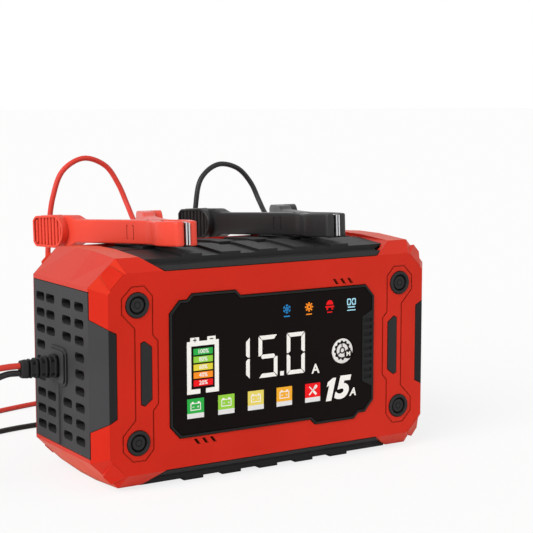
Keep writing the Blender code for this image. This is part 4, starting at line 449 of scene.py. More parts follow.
# ---------------------------------------------------------------- what repeats or follows a line
def node_tree(name, inputs):
    """An empty Geometry Nodes tree with its named inputs; returns it and its input sockets."""
    tree = bpy.data.node_groups.new(name, "GeometryNodeTree")
    for label, way, kind in [("Geometry", "OUTPUT", "Geometry"), ("Geometry", "INPUT", "Geometry")] + [
            (label, "INPUT", kind) for label, kind in inputs + (("Finish", "Material"),)]:
        tree.interface.new_socket(label, in_out=way, socket_type="NodeSocket" + kind)
    return tree, add(tree, "NodeGroupInput").outputs


def finish_tree(tree, shape, given):
    real = add(tree, "GeometryNodeRealizeInstances", {"Geometry": shape})
    done = add(tree, "GeometryNodeSetMaterial", {"Geometry": real, "Material": given["Finish"]})
    add(tree, "NodeGroupOutput", {"Geometry": done})
    return tree


def bars_on_lines():
    """A round bar along every line: ribs of a grip, wire of a spring."""
    tree, given = node_tree("bars_on_lines", (("Bar radius", "Float"), ("Bar sides", "Int")))
    line = add(tree, "GeometryNodeMeshToCurve", {"Mesh": given["Geometry"]})
    section = add(tree, "GeometryNodeCurvePrimitiveCircle", {
        "Resolution": given["Bar sides"], "Radius": given["Bar radius"]})
    bars = add(tree, "GeometryNodeCurveToMesh", {"Curve": line, "Profile Curve": section, "Fill Caps": True})
    return finish_tree(tree, bars, given)


def shape_on_points():
    """One shape on every point, stretched by the share that the point carries."""
    tree, given = node_tree("shape_on_points", (("Shape", "Object"),))
    shape = add(tree, "GeometryNodeObjectInfo", {"Object": given["Shape"]}).outputs["Geometry"]
    share = add(tree, "GeometryNodeInputNamedAttribute", {"Name": "share"}, data_type="FLOAT_VECTOR")
    copies = add(tree, "GeometryNodeInstanceOnPoints", {
        "Points": given["Geometry"], "Instance": shape, "Scale": share.outputs["Attribute"]})
    return finish_tree(tree, copies, given)


def grown(tree, points, edges=(), shares=(), **values):
    """Run a tree on points or lines and keep its result as a plain mesh."""
    data = bpy.data.meshes.new(tree.name)
    data.from_pydata([tuple(point) for point in points], list(edges), [])
    if shares:
        carried = data.attributes.new("share", "FLOAT_VECTOR", "POINT")
        for target, share in zip(carried.data, shares):
            target.vector = share
    holder = placed(tree.name, data)
    step = holder.modifiers.new(tree.name, "NODES")
    step.node_group = tree
    for socket in tree.interface.items_tree:
        label = socket.name.lower().replace(" ", "_")
        if socket.in_out == "INPUT" and label in values:
            step[socket.identifier] = values[label]
    return evaluated(holder)


def copies_of(mesh, points, shares):
    """One rubber shape on every point."""
    shape = held(mesh)
    made = grown(shape_on_points(), points, shares=shares, shape=shape, finish=finish_of("rubber"))
    bpy.data.objects.remove(shape)
    return made


# ---------------------------------------------------------------- lines and places
def blend(first, second, start, end, at):
    share = (at - start) / (end - start)
    return first * (1 - share) + second * share


def smooth_line(route, count):
    """Evenly spaced points on a centripetal spline through the route, and its length."""
    knots = [Vector(point) for point in route]
    ends = [knots[0] * 2 - knots[1]] + knots + [knots[-1] * 2 - knots[-2]]
    fine = []
    for a, b, c, d in zip(ends, ends[1:], ends[2:], ends[3:]):
        t = [0.0]
        for first, second in ((a, b), (b, c), (c, d)):
            t.append(t[-1] + max((second - first).length, 1e-6) ** 0.5)
        for i in range(24):
            s = t[1] + (t[2] - t[1]) * i / 24
            low = blend(a, b, t[0], t[1], s)
            mid = blend(b, c, t[1], t[2], s)
            high = blend(c, d, t[2], t[3], s)
            fine.append(blend(blend(low, mid, t[0], t[2], s), blend(mid, high, t[1], t[3], s), t[1], t[2], s))
    fine.append(knots[-1])
    lengths = [0.0]
    for first, second in zip(fine, fine[1:]):
        lengths.append(lengths[-1] + (second - first).length)
    points, index = [], 0
    for i in range(count):
        wanted = lengths[-1] * i / (count - 1)
        while index < len(fine) - 2 and lengths[index + 1] < wanted:
            index += 1
        span = max(lengths[index + 1] - lengths[index], 1e-9)
        points.append(fine[index].lerp(fine[index + 1], (wanted - lengths[index]) / span))
    return points, lengths[-1]


def clamp_place(colour):
    """From a clamp's own axes (X across, Y to the handles, Z along the pivot) to the charger's."""
    joint = JOINTS[colour + "_clamp_pivot"]
    tilt = math.atan2(joint["axis"][1], -joint["axis"][2])
    turn = Matrix.Rotation(tilt, 4, "X") @ Matrix.Rotation(CLAMP_TURN, 4, "Z")
    return Matrix.Translation(joint["pos_m"]) @ turn


def arm_middle(side, station):
    return Vector((side * (station[1] + station[2]) / 2, station[0], CLAMP_HEIGHT / 2))


def boot_axes(side):
    """Root and direction of the cable boot at the tail of an arm."""
    root = arm_middle(side, ARM_STATIONS[-1])
    return root, (root - arm_middle(side, ARM_STATIONS[-3])).normalized()


# ---------------------------------------------------------------- properties
class CHARGER_PG_sizes(bpy.types.PropertyGroup):
    lead_diameter: FloatProperty(
        name="Lead diameter", description="Outer diameter of each lead", default=2 * LEAD_RADIUS,
        unit="LENGTH")
    boot_length: FloatProperty(
        name="Boot length", description="Length of the boot where a lead enters a clamp", default=0.006,
        unit="LENGTH")
    pad_length: FloatProperty(
        name="Grip length", description="Length of a clamp's grip pad", default=0.0215, unit="LENGTH")
    pad_height: FloatProperty(
        name="Grip height", description="Height of a clamp's grip pad", default=0.016, unit="LENGTH")
    pad_ribs: IntProperty(name="Grip ribs", description="Ribs inside the rim of a grip pad", default=8)
    cap_radius: FloatProperty(
        name="Cap radius", description="Radius of the rubber caps over the case screws", default=0.0054,
        unit="LENGTH")


class CHARGER_PG_colours(bpy.types.PropertyGroup):
    case_red: FloatVectorProperty(
        name="Case", description="Colour of the case", subtype="COLOR", default=srgb("#C11A15"), min=0, max=1)
    panel_grey: FloatVectorProperty(
        name="Side panels", description="Colour of the vented side panels", subtype="COLOR",
        default=srgb("#3B3B3D"), min=0, max=1)
    clamp_red: FloatVectorProperty(
        name="Red clamp", description="Colour of the positive clamp", subtype="COLOR",
        default=srgb("#DB4331"), min=0, max=1)


# ---------------------------------------------------------------- camera, leads and case
class CHARGER_OT_camera(bpy.types.Operator):
    """Put the camera where the charger is seen from its front left, a little from above"""
    bl_idname = "charger.camera"
    bl_label = "Camera"

    def execute(self, context):
        lens = bpy.data.cameras.new("camera")
        lens.lens = LENS_MM
        lens.sensor_width = SENSOR_MM
        lens.clip_start = 0.01
        right, ahead = Vector(CAMERA_RIGHT).normalized(), Vector(CAMERA_AHEAD).normalized()
        turn = Matrix((right, right.cross(ahead), -ahead)).transposed().to_4x4()
        made = placed("camera", lens)
        made.matrix_world = Matrix.Translation(CAMERA_AT) @ turn
        context.scene.camera = made
        return {"FINISHED"}


class CHARGER_OT_leads(bpy.types.Operator):
    """Run each lead from the strain relief to its clamp"""
    bl_idname = "charger.leads"
    bl_label = "Leads"

    def execute(self, context):
        sizes = context.scene.charger_sizes
        root, along = boot_axes(1)
        # the root comes twice: as the end of the boot and as the arm's last station
        inside = [root] + [arm_middle(1, station) for station in reversed(ARM_STATIONS)
                           if station[0] >= LEAD_END_Y]
        for colour, route, up in (("red", RED_ROUTE, 0.0016), ("black", BLACK_ROUTE, -0.0016)):
            place = clamp_place(colour)
            end = place @ (root + along * (sizes.boot_length + 0.0003))
            start = Vector((-RELIEF_TIP - 0.0003, PORT_Y, MID_Z + up))
            whole = [start, start + Vector((-0.006, 0, 0)), *route,
                     end + place.to_3x3() @ along * 0.006, end] + [place @ point for point in inside]
            points, length = smooth_line(whole, LEAD_POINTS)
            data = bpy.data.curves.new(colour + "_sheath", "CURVE")
            data.dimensions = "3D"
            data.bevel_depth = sizes.lead_diameter / 2
            data.bevel_resolution = 5
            data.use_fill_caps = True
            line = data.splines.new("POLY")
            line.points.add(len(points) - 1)
            for target, point in zip(line.points, points):
                target.co = (*point, 1.0)
            line.use_smooth = True
            data.materials.append(finish_of("sheath_" + colour))
            made = placed(colour + "_sheath", data)
            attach(made, "case")
            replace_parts(made, colour + "_lead")
        return {"FINISHED"}


class CHARGER_OT_case(bpy.types.Operator):
    """Give the case, its panels and its inlays their moulded finishes"""
    bl_idname = "charger.case"
    bl_label = "Case and panels"

    def execute(self, context):
        dress(case_red="front_shell rear_cover", panel_grey="side_panel_left side_panel_right",
              panel_black="top_panel bottom_panel slot_inlay_left slot_inlay_right mains_inlet",
              bezel="display_bezel", window="display_window", brass="inlet_pin_1 inlet_pin_2")
        return {"FINISHED"}


class CHARGER_OT_inside(bpy.types.Operator):
    """Finish what shows through the vents: board, components, heat sink and fan"""
    bl_idname = "charger.inside"
    bl_label = "Inside"

    def execute(self, context):
        dress(board="main_board display_board", glass="lcd_module", aluminium="heat_sink",
              component="power_transistor_1 power_transistor_2 power_transistor_3 fan_frame fan_rotor",
              ferrite="transformer_core", tape="transformer_winding", sleeve="capacitor_1 capacitor_2",
              copper="output_choke",
              steel=" ".join("%s_screw_%d" % (kind, i) for kind in ("case", "board") for i in (1, 2, 3, 4)))
        return {"FINISHED"}


class CHARGER_OT_caps(bpy.types.Operator):
    """Set a turned rubber cap over each case screw"""
    bl_idname = "charger.caps"
    bl_label = "Screw caps"

    def execute(self, context):
        r = context.scene.charger_sizes.cap_radius
        mesh = bmesh.new()
        turned(mesh, (0, 0, 0), (0, 1, 0), (
            (0.0007, 0.0002), (0.0007, 0.0011), (0.001, 0.0012), (0.001, 0.0016), (0.0007, 0.0017),
            (0.0007, 0.003), (0.0009, 0.0032), (0.0018, 0.0033), (0.0018, 0.0038), (0.0002, 0.004),
            (0.0, 0.0042), (0.0, r - 0.0004), (0.00015, r - 0.0001), (0.0005, r), (0.005, r)), 48)
        made = piece("caps", copies_of(mesh, CAPS, [(1, 1, 1)] * 4), "rubber", "case")
        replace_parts(made, *("screw_cap_%d" % number for number in (1, 2, 3, 4)))
        return {"FINISHED"}


class CHARGER_OT_relief(bpy.types.Operator):
    """Mould the strain relief: rings and staggered bridges on a core that gets slimmer"""
    bl_idname = "charger.relief"
    bl_label = "Strain relief"

    def execute(self, context):
        core, root = self.core(), RELIEF_TIP - RELIEF_LENGTH
        rings, ring_shares, bridges, bridge_shares = [], [], [], []
        for start in (0.0009, 0.0051, 0.0093):
            for at in (start + 0.00045, start + 0.00285):
                rings.append((-root - at, PORT_Y, MID_Z))
                ring_shares.append((0.0009, *self.section(at)))
            y, z = self.section(start + 0.0016)
            bridges.append((-root - start - 0.00165, PORT_Y, MID_Z))
            bridge_shares.append((0.0018, 2 * y - 0.0003, z * 0.95))
        for start in (0.0, 0.0042, 0.0084, 0.0126):
            y, z = self.section(start)
            bridges.append((-root - start - 0.00045, PORT_Y, MID_Z))
            bridge_shares.append((0.0012, y * 0.9, 2 * z - 0.0004))
        ring, cube = bmesh.new(), bmesh.new()
        loft(ring, [[(x, a, b) for a, b in rounded(1 - inset, 1 - inset, 0.6 - inset, 8)]
                    for x, inset in ((-0.5, 0.05), (-0.3, 0.0), (0.3, 0.0), (0.5, 0.05))])
        bmesh.ops.create_cube(cube, size=1.0)
        core.from_mesh(copies_of(ring, rings, ring_shares))
        core.from_mesh(copies_of(cube, bridges, bridge_shares))
        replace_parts(piece("relief", core, "rubber", "case"), "strain_relief")
        return {"FINISHED"}

    def section(self, distance):
        """Half width and half height at a distance from the panel."""
        share = distance / RELIEF_LENGTH
        return 0.0047 - 0.0021 * share, 0.0052 - 0.0014 * share

    def core(self):
        root, tip = RELIEF_TIP - RELIEF_LENGTH, RELIEF_TIP
        inner = -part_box("strain_relief")[1][0]
        stations = [(inner, 0.0049, 0.0057), (inner + 0.0016, 0.0049, 0.0057), (inner + 0.0016, 0.0033, 0.0041)]
        for distance in (0.0, RELIEF_LENGTH - 0.003):
            y, z = self.section(distance)
            stations.append((root + distance, y - 0.0016, z - 0.0014))
        stations += [(tip - 0.003, y - 0.0002, z - 0.0002), (tip - 0.0027, y, z)]
        y, z = self.section(RELIEF_LENGTH)
        stations += [(tip - 0.0003, y, z), (tip, y - 0.0003, z - 0.0003)]
        mesh = bmesh.new()
        loft(mesh, [[(-x, PORT_Y + a, MID_Z + b) for a, b in rounded(y, z, min(y, z) * 0.62, 6)]
                    for x, y, z in stations])
        return mesh


# ---------------------------------------------------------------- display, in mm from the case's middle
SEGMENTS = {"1": "bc", "5": "afgcd", "0": "abcdef"}


def ray(angle):
    return Vector((math.cos(angle), math.sin(angle)))


def box(left, right, low, high):
    return [(left, low), (right, low), (right, high), (left, high)]


def stroke(start, end, width):
    """Outline of a straight stroke between two points."""
    a, b = Vector(start), Vector(end)
    along = (b - a).normalized()
    side = Vector((-along.y, along.x)) * width / 2
    return [a - side, b - side, b + side, a + side]


def disc(middle, radius, count):
    return [Vector(middle) + ray(2 * math.pi * i / count) * radius for i in range(count)]


def rows_of(outlines, depths):
    return [[(x / 1000, y, MID_Z + z / 1000) for x, z in outline] for outline, y in zip(outlines, depths)]


def plate(mesh, outline, low, high=LENS_FRONT + 0.00005):
    """A thin flat shape on the front."""
    loft(mesh, rows_of((outline, outline), (low, high)))


def ring_plate(mesh, outer, inner, low, high=LENS_FRONT + 0.00005):
    """A thin flat ring between two outlines of the same number of points."""
    rows = [[mesh.verts.new(point) for point in row]
            for row in rows_of((outer, outer, inner, inner), (low, high, high, low))]
    bmesh.ops.recalc_face_normals(mesh, faces=skin(mesh, rows, rows[1:] + rows[:1]))


def printed(name, outlines, finish, lift=0.0):
    """Several thin shapes of one ink."""
    mesh = bmesh.new()
    for outline in outlines:
        plate(mesh, outline, LENS_FRONT - PRINT - lift)
    return piece(name, mesh, finish, "case", smooth=0)


def lettering(name, words, height, finish, lift=0.0, body="case", front=LENS_FRONT):
    """Generic figures: (text, x, z, height share, shear, width share, weight) each, as a thin mesh."""
    collected = bmesh.new()
    for text, x, z, share, shear, wide, weight in words:
        curve = bpy.data.curves.new("figure", "FONT")
        curve.body = text
        curve.size = height * share / 1000
        curve.shear = shear
        curve.align_x = curve.align_y = "CENTER"
        curve.extrude = 0.00004
        curve.offset = curve.size * weight
        data = evaluated(placed("figure", curve))
        data.transform(Matrix.Translation((x / 1000, front - PRINT - lift, MID_Z + z / 1000))
                       @ Matrix.Rotation(math.pi / 2, 4, "X") @ Matrix.Diagonal((wide, 1, 1, 1)))
        collected.from_mesh(data)
        bpy.data.curves.remove(curve)
        bpy.data.meshes.remove(data)
    return piece(name, collected, finish, body, smooth=0)


def segment_shapes(figure, left, low, width, height):
    """Seven-segment figure, each bar with slanted ends."""
    t, half, gap = 1.9, 0.95, 0.35
    right, top, mid = left + width, low + height, low + height / 2
    level = [(gap, 0), (width - gap, 0), (width - t, t), (t, t)]
    upright = [(0, gap), (0, height / 2 - gap), (half, height / 2 - half * 0.4), (t, height / 2 - t * 0.7),
               (t, t + gap)]
    bars = {
        "a": [(left + x, top - z) for x, z in level],
        "b": [(right - x, top - z) for x, z in upright],
        "c": [(right - x, low + z) for x, z in upright],
        "d": [(left + x, low + z) for x, z in level],
        "e": [(left + x, low + z) for x, z in upright],
        "f": [(left + x, top - z) for x, z in upright],
        "g": [(left + half + gap, mid), (left + t, mid + half), (right - t, mid + half),
              (right - half - gap, mid), (right - t, mid - half), (left + t, mid - half)],
    }
    return [bars[key] for key in SEGMENTS[figure]]


def small_battery(x, z):
    """White outline of a car battery with two poles and its plus and minus."""
    wide, tall, t = 2.6, 1.9, 0.38
    low, high = z - tall, z + tall - 0.5
    return [
        box(x - wide, x + wide, low, low + t), box(x - wide, x + wide, high - t, high),
        box(x - wide, x - wide + t, low + t, high - t), box(x + wide - t, x + wide, low + t, high - t),
        box(x - 2.0, x - 1.0, high, high + 0.6), box(x + 1.0, x + 2.0, high, high + 0.6),
        box(x - 1.7, x - 0.7, z - 0.5, z - 0.2), box(x + 0.7, x + 1.7, z - 0.5, z - 0.2),
        box(x + 1.05, x + 1.35, z - 0.85, z + 0.15),
    ]


def wrench_and_driver(x, z):
    """Crossed spanner and screwdriver."""
    middle, d = Vector((x, z)), 2.0
    lines = (((-1, -1), (0.55, 0.55), 0.6), ((0.5, 0.9), (1.05, 1.2), 0.6), ((0.9, 0.5), (1.2, 1.05), 0.6),
             ((1, -1), (0.2, -0.2), 1.1), ((0.2, -0.2), (-1, 1), 0.5))
    return [disc(middle + Vector((0.62, 0.62)) * d, 0.7, 12)] + [
        stroke(middle + Vector(start) * d, middle + Vector(end) * d, width) for start, end, width in lines]


class CHARGER_OT_gauge(bpy.types.Operator):
    """Print the battery gauge with its five coloured bars"""
    bl_idname = "charger.gauge"
    bl_label = "Battery gauge"

    def execute(self, context):
        left, right, low, high, wall = -46.5, -30.4, -11.5, 11.9, 2.1
        printed("gauge_frame", [
            box(left, left + wall, low, high), box(right - wall, right, low, high),
            box(left + wall, right - wall, high - wall, high), box(left + wall, left + 6.6, low, low + wall),
            box(right - 6.6, right - wall, low, low + wall), box(-44.8, -40.4, high, high + 1.7),
            box(-36.2, -32.0, high, high + 1.7)], "white")
        printed("gauge_signs", [
            stroke((-43.4, 12.45), (-41.6, 12.45), 0.4), stroke((-42.5, 11.55), (-42.5, 13.35), 0.4),
            stroke((-35.0, 12.45), (-33.2, 12.45), 0.4)], "dark", lift=LIFT)
        words = []
        for i, finish in enumerate(("green", "lime", "yellow", "orange", "red")):
            top = 8.6 - i * 3.5
            printed("gauge_bar_" + finish, [box(-43.2, -33.5, top - 2.8, top)], finish)
            words.append(("%d%%" % (100 - 20 * i), -38.35, top - 1.4, 1.0, 0.0, 1.0, 0.012))
        lettering("gauge_figures", words, 2.6, "white", lift=LIFT)
        return {"FINISHED"}


class CHARGER_OT_reading(bpy.types.Operator):
    """Print the large figures of the reading and of the rated current"""
    bl_idname = "charger.reading"
    bl_label = "Reading"

    def execute(self, context):
        low = -8.0
        shapes = [box(2.0, 4.0, low, low + 2.0)]
        for figure, left, width in (("1", -23.1, 8.8), ("5", -9.6, 10.1), ("0", 5.6, 9.9)):
            shapes += segment_shapes(figure, left, low, width, 19.3)
        printed("reading", shapes, "white")
        lettering("reading_unit", [("A", 21.5, -7.0, 1.0, 0.0, 1.0, 0.02)], 6.2, "white")
        one = ((0.6, 0.0), (3.6, 0.0), (3.6, 10.7), (1.9, 10.7), (-0.6, 9.0), (-0.6, 6.8), (0.6, 7.4))
        printed("rated_one", [[(26.9 + x + 0.25 * z, z - 23.0) for x, z in one]], "white")
        lettering("rated_current", [("5", 36.0, -17.7, 1.0, 0.25, 1.1, 0.045),
                                    ("A", 42.8, -20.2, 0.36, 0.2, 1.0, 0.03)], 14.2, "white")
        return {"FINISHED"}


class CHARGER_OT_modes(bpy.types.Operator):
    """Print the row of battery-type squares and the four small signs above"""
    bl_idname = "charger.modes"
    bl_label = "Mode signs"

    def execute(self, context):
        width, low = 8.4, -22.3
        strips, icons = [], []
        for finish, left in (("green", -46.5), ("lime", -30.8), ("pale_yellow", -15.3), ("amber", 0.1),
                             ("red", 15.8)):
            printed("mode_square_" + finish, [box(left, left + width, low + 2.2, low + 8.8)], finish)
            strips.append(box(left, left + width, low, low + 2.2))
            sign = wrench_and_driver if finish == "red" else small_battery
            icons += sign(left + width / 2, low + 5.4)
        printed("mode_strips", strips, "icon_strip")
        printed("mode_icons", icons, "white", lift=LIFT)
        self.top_signs(SIGN_Z)
        return {"FINISHED"}

    def top_signs(self, z):
        flake, centre = [], Vector((5.6, z))
        for angle in (math.radians(30 + 60 * i) for i in range(3)):
            arm = ray(angle) * 2.1
            flake.append(stroke(centre - arm, centre + arm, 0.42))
            for sign in (-1, 1):
                knot = centre + arm * sign * 0.62
                flake += [stroke(knot, knot + ray(angle + bend * 0.9) * sign * 0.8, 0.3) for bend in (-1, 1)]
        printed("sign_cold", flake + [box(4.0, 7.2, *SIGN_BAR)], "blue")
        centre = Vector((17.8, z))
        rays = [ray(math.radians(45 * i)) for i in range(8)]
        sun = [disc(centre, 1.4, 24)] + [stroke(centre + way * 1.2, centre + way * 2.2, 0.7) for way in rays]
        printed("sign_warm", sun + [box(16.2, 19.4, *SIGN_BAR)], "orange")
        printed("sign_warm_eye", [disc(centre, 0.5, 12)], "dark", lift=LIFT)
        roof = ((27.4, 0.2), (31.4, 0.2), (31.0, 1.4), (30.2, 2.2), (28.6, 2.2), (27.8, 1.4))
        printed("sign_vehicle", [
            [(x, z + up) for x, up in roof], box(27.0, 31.8, z - 1.2, z - 0.4),
            box(27.6, 28.4, z - 2.2, z - 1.4), box(30.4, 31.2, z - 2.2, z - 1.4),
            box(28.0, 30.8, *SIGN_BAR)], "red")
        mesh = bmesh.new()
        for x in (40.4, 43.2):
            ring = rounded(1.1, 1.6, 0.6, 3)
            ring_plate(mesh, [(x + a, z + 0.6 + b) for a, b in ring],
                       [(x + a * 0.55, z + 0.6 + b * 0.65) for a, b in ring], LENS_FRONT - PRINT)
        piece("sign_supply_rings", mesh, "pale_blue", "case", smooth=0)
        printed("sign_supply", [box(41.0, 42.6, z + 0.3, z + 0.9), box(39.8, 43.8, z - 2.2, z - 1.6),
                                box(39.4, 44.2, *SIGN_BAR)], "pale_blue")


class CHARGER_OT_button(bpy.types.Operator):
    """Mould the round white mode button with its dark gear sign"""
    bl_idname = "charger.button"
    bl_label = "Mode button"

    def execute(self, context):
        near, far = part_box("mode_button")
        front, radius, stem = near[1], (far[0] - near[0]) / 2, 0.0019
        profile = ((0.0, 0.0008), (0.0, radius - 0.0007), (0.0001, radius - 0.0003),
                   (0.0004, radius - 0.00005), (0.0012, radius), (0.0012, stem), (far[1] - front, stem))
        mesh = bmesh.new()
        loft(mesh, [rows_of([disc((BUTTON_X, 0), 1000 * r, 56)], [front + along])[0] for along, r in profile])
        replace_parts(piece("button_cap", mesh, "button_white", "button"), "mode_button")
        mesh = bmesh.new()
        face, over = front - 0.0001, 0.00006
        middle, badge = Vector((BUTTON_X - 0.3, 0.4)), (BUTTON_X + 3.1, -1.6)
        teeth = [middle + ray(2 * math.pi * i / 48) * (4.0 if i // 2 % 2 else 4.7) for i in range(48)]
        ring_plate(mesh, teeth, disc(middle, 3.3, 48), face, front)
        ring_plate(mesh, disc(middle, 1.6, 48), disc(middle, 1.0, 48), face, front)
        for way in (ray(math.radians(angle)) for angle in (95, 215, 335)):
            plate(mesh, stroke(middle + way * 1.6, middle + way * 3.4, 0.5), face, front)
        plate(mesh, disc(badge, 2.2, 28), face - over, front)
        piece("button_gear", mesh, "dark", "button", smooth=0)
        lettering("button_letter", [("M", *badge, 1.0, 0.0, 1.1, 0.03)], 2.8, "white", body="button",
                  front=front, lift=over)
        return {"FINISHED"}


# ---------------------------------------------------------------- clamps
class CHARGER_OT_clamps(bpy.types.Operator):
    """Shape both battery clamps: arms with grips, boots and ribs, steel jaws, pin and spring"""
    bl_idname = "charger.clamps"
    bl_label = "Clamps"

    def execute(self, context):
        sizes = context.scene.charger_sizes
        for colour in ("red", "black"):
            place = clamp_place(colour)
            look = "clamp_" + colour
            for side, part, body in ((1, "body", "case"), (-1, "lever", colour + "_lever")):
                data = combined(arm(side), [
                    ("DIFFERENCE", drums(KNUCKLES[side][1], KNUCKLE_CLEAR, 0.0)),
                    ("UNION", drums(KNUCKLES[side][0], KNUCKLE_RADIUS, KNUCKLE_EDGE)),
                    ("UNION", grip(side, sizes)), ("UNION", boot(side, sizes)),
                    ("DIFFERENCE", bores_and_marks(side))])
                data.transform(place)
                made = piece("%s_arm_%s" % (colour, part), data, look, body, smooth=38.0)
                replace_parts(made, "%s_clamp_%s" % (colour, part))
                self.bars("%s_grip_ribs_%s" % (colour, part), *grip_lines(side, sizes), place,
                          GRIP_RIB_RADIUS, 12, look, body)
            points = spring_line()
            for name, line, body in (("_coil", points[:-2], "case"),
                                     ("_coil_leg", points[-3:], colour + "_lever")):
                self.bars(colour + name, line, [(i, i + 1) for i in range(len(line) - 1)], place,
                          WIRE_RADIUS, 10, "steel", body)
            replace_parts(bpy.data.objects[colour + "_coil"], colour + "_clamp_spring")
            dress(steel="{0}_body_jaw {0}_lever_jaw {0}_pin".format(colour + "_clamp"))
        return {"FINISHED"}

    def bars(self, name, points, edges, place, radius, sides, finish, body):
        data = grown(bars_on_lines(), points, edges, bar_radius=radius, bar_sides=sides,
                     finish=finish_of(finish))
        data.transform(place)
        piece(name, data, finish, body, smooth=50.0)


def arm(side):
    """Smooth arm: a round-edged section carried along the stations; side is -1 or 1."""
    line = smooth_line([station[:3] for station in ARM_STATIONS], 150)[0]
    rings = []
    for y, inner, outer in line:
        from_end = min(y - line[0].x, line[-1].x - y)
        shrink = ARM_EDGE - math.sqrt(max(0.0, ARM_EDGE ** 2 - max(0.0, ARM_EDGE - from_end) ** 2))
        half = (outer - inner) / 2 - shrink
        tall = CLAMP_HEIGHT / 2 * height_share(y) - shrink
        rings.append([(side * ((inner + outer) / 2 + a), y, CLAMP_HEIGHT / 2 + b)
                      for a, b in rounded(half, tall, min(0.0009, half * 0.6), 5)])
    mesh = bmesh.new()
    loft(mesh, rings)
    return mesh


def height_share(y):
    """Share of the clamp's height that an arm has at a distance behind the pivot."""
    for near, far in zip(ARM_STATIONS, ARM_STATIONS[1:]):
        if y <= far[0]:
            share = max(0.0, (y - near[0]) / (far[0] - near[0]))
            return blend(near[3], far[3], 0.0, 1.0, share * share * (3 - 2 * share))
    return ARM_STATIONS[-1][3]


def drums(heights, radius, edge):
    """Round blocks on the pivot's axis, one between each pair of heights."""
    mesh = bmesh.new()
    for low, high in heights:
        tall = high - low
        profile = ((0.0, radius - edge), (edge, radius), (tall - edge, radius), (tall, radius - edge))
        turned(mesh, (0, 0, low), (0, 0, 1), profile if edge else profile[::3], 48)
    return mesh


def grip_point(side, along_distance, out_distance, z):
    """A place on a grip: along the widest part of its arm, out of it, and up from its middle."""
    start, end = (Vector((station[2], station[0])) for station in ARM_STATIONS[-3:-1])
    along = (end - start).normalized()
    place = start + along * (along_distance - PAD_AHEAD) + Vector((along.y, -along.x)) * out_distance
    return Vector((side * place.x, place.y, CLAMP_HEIGHT / 2 + z))


def grip_outline(sizes):
    """Round towards the jaws, blunt towards the tail."""
    half = sizes.pad_height / 2
    points = [Vector((half * 0.95 - half * 0.95 * math.cos(angle), half * math.sin(angle)))
              for angle in (math.radians(-80 + 5 * i) for i in range(33))]
    upper = [Vector((sizes.pad_length - PAD_TAPER * (1 - share), half * (0.94 - 0.3 * share * share)))
             for share in (0.25, 0.5, 0.75, 1.0)]
    return points + upper + [Vector((point.x, -point.y)) for point in reversed(upper)]


def inset(outline, distance):
    """A clockwise outline made smaller by a distance."""
    made = []
    for i, point in enumerate(outline):
        way = (point - outline[i - 1]).normalized() + (outline[(i + 1) % len(outline)] - point).normalized()
        made.append(point + Vector((way.y, -way.x)).normalized() * distance)
    return made


def grip(side, sizes):
    """Pad with a raised round rim and a sunk floor for the ribs."""
    outline = grip_outline(sizes)
    mesh = bmesh.new()
    loft(mesh, [[grip_point(side, point.x, out, point.y) for point in inset(outline, distance)]
                for out, distance in ((-0.0012, 0.0), (PAD_PROUD - 0.0007, 0.0), (PAD_PROUD - 0.0002, 0.00015),
                                      (PAD_PROUD, 0.0005), (PAD_PROUD, PAD_RIM - 0.0003),
                                      (PAD_PROUD - 0.0002, PAD_RIM), (PAD_FLOOR, PAD_RIM + 0.0001))])
    return mesh


def grip_lines(side, sizes):
    """Lines for the ribs across the sunk floor of a grip, each as tall as the grip is there."""
    half = sizes.pad_height / 2
    pitch = (sizes.pad_length - 2 * PAD_RIM - 0.0004) / sizes.pad_ribs
    points, edges = [], []
    for i in range(sizes.pad_ribs):
        at = PAD_RIM + 0.0002 + pitch * (i + 0.5)
        reach = max(0.0, half * 0.95 - at) / (half * 0.95)
        tall = half * math.sqrt(1 - reach * reach) if reach else half * 0.94
        if at > sizes.pad_length - PAD_TAPER:
            tall = half * 0.8
        tall -= PAD_RIM - 0.0003
        points += [grip_point(side, at, PAD_FLOOR + 0.0001, z) for z in (-tall, tall)]
        edges.append((2 * i, 2 * i + 1))
    return points, edges


def boot(side, sizes):
    """Ringed stub at the tail of an arm."""
    length = sizes.boot_length
    profile = [(-0.003, 0.0029)]
    for start, radius in ((0.0, 0.0029), (length * 0.36, 0.0026)):
        profile += [(start + 0.0012, radius), (start + 0.0015, radius - 0.0002), (start + 0.0016, radius - 0.0006),
                    (start + 0.002, radius - 0.0006), (start + 0.0021, radius - 0.0003)]
    profile += [(length - 0.0016, 0.0024), (length - 0.0003, 0.0021), (length, 0.0018)]
    mesh = bmesh.new()
    turned(mesh, *boot_axes(side), profile, 32)
    return mesh


def bores_and_marks(side):
    """Bore for the pin, seats for its heads, and the two upright lines on the arm's outer side."""
    mesh = bmesh.new()
    profile = [(-0.002, HEAD_RADIUS), (0.0009, HEAD_RADIUS), (0.0009, BORE_RADIUS)]
    profile += [(CLAMP_HEIGHT - distance, radius) for distance, radius in reversed(profile)]
    if side < 0:
        profile = [(distance, BORE_RADIUS) for distance, radius in (profile[0], profile[-1])]
    turned(mesh, (0, 0, 0), (0, 0, 1), profile, 32)
    near, far = ARM_STATIONS[10:12]
    for y, bend in ((0.008, 1), (0.0124, -1)):
        outer = blend(near[2], far[2], near[0], far[0], y)
        upper = [(-0.0002, 0.0032), (0.0009, 0.0032), (0.0009, 0.0029), (0.0002, 0.0029)]
        bracket = upper + [(a, -b) for a, b in reversed(upper)]
        loft(mesh, [[(side * x, y + bend * a, CLAMP_HEIGHT / 2 + b) for a, b in bracket]
                    for x in (outer - 0.0004, outer + 0.002)])
    return mesh


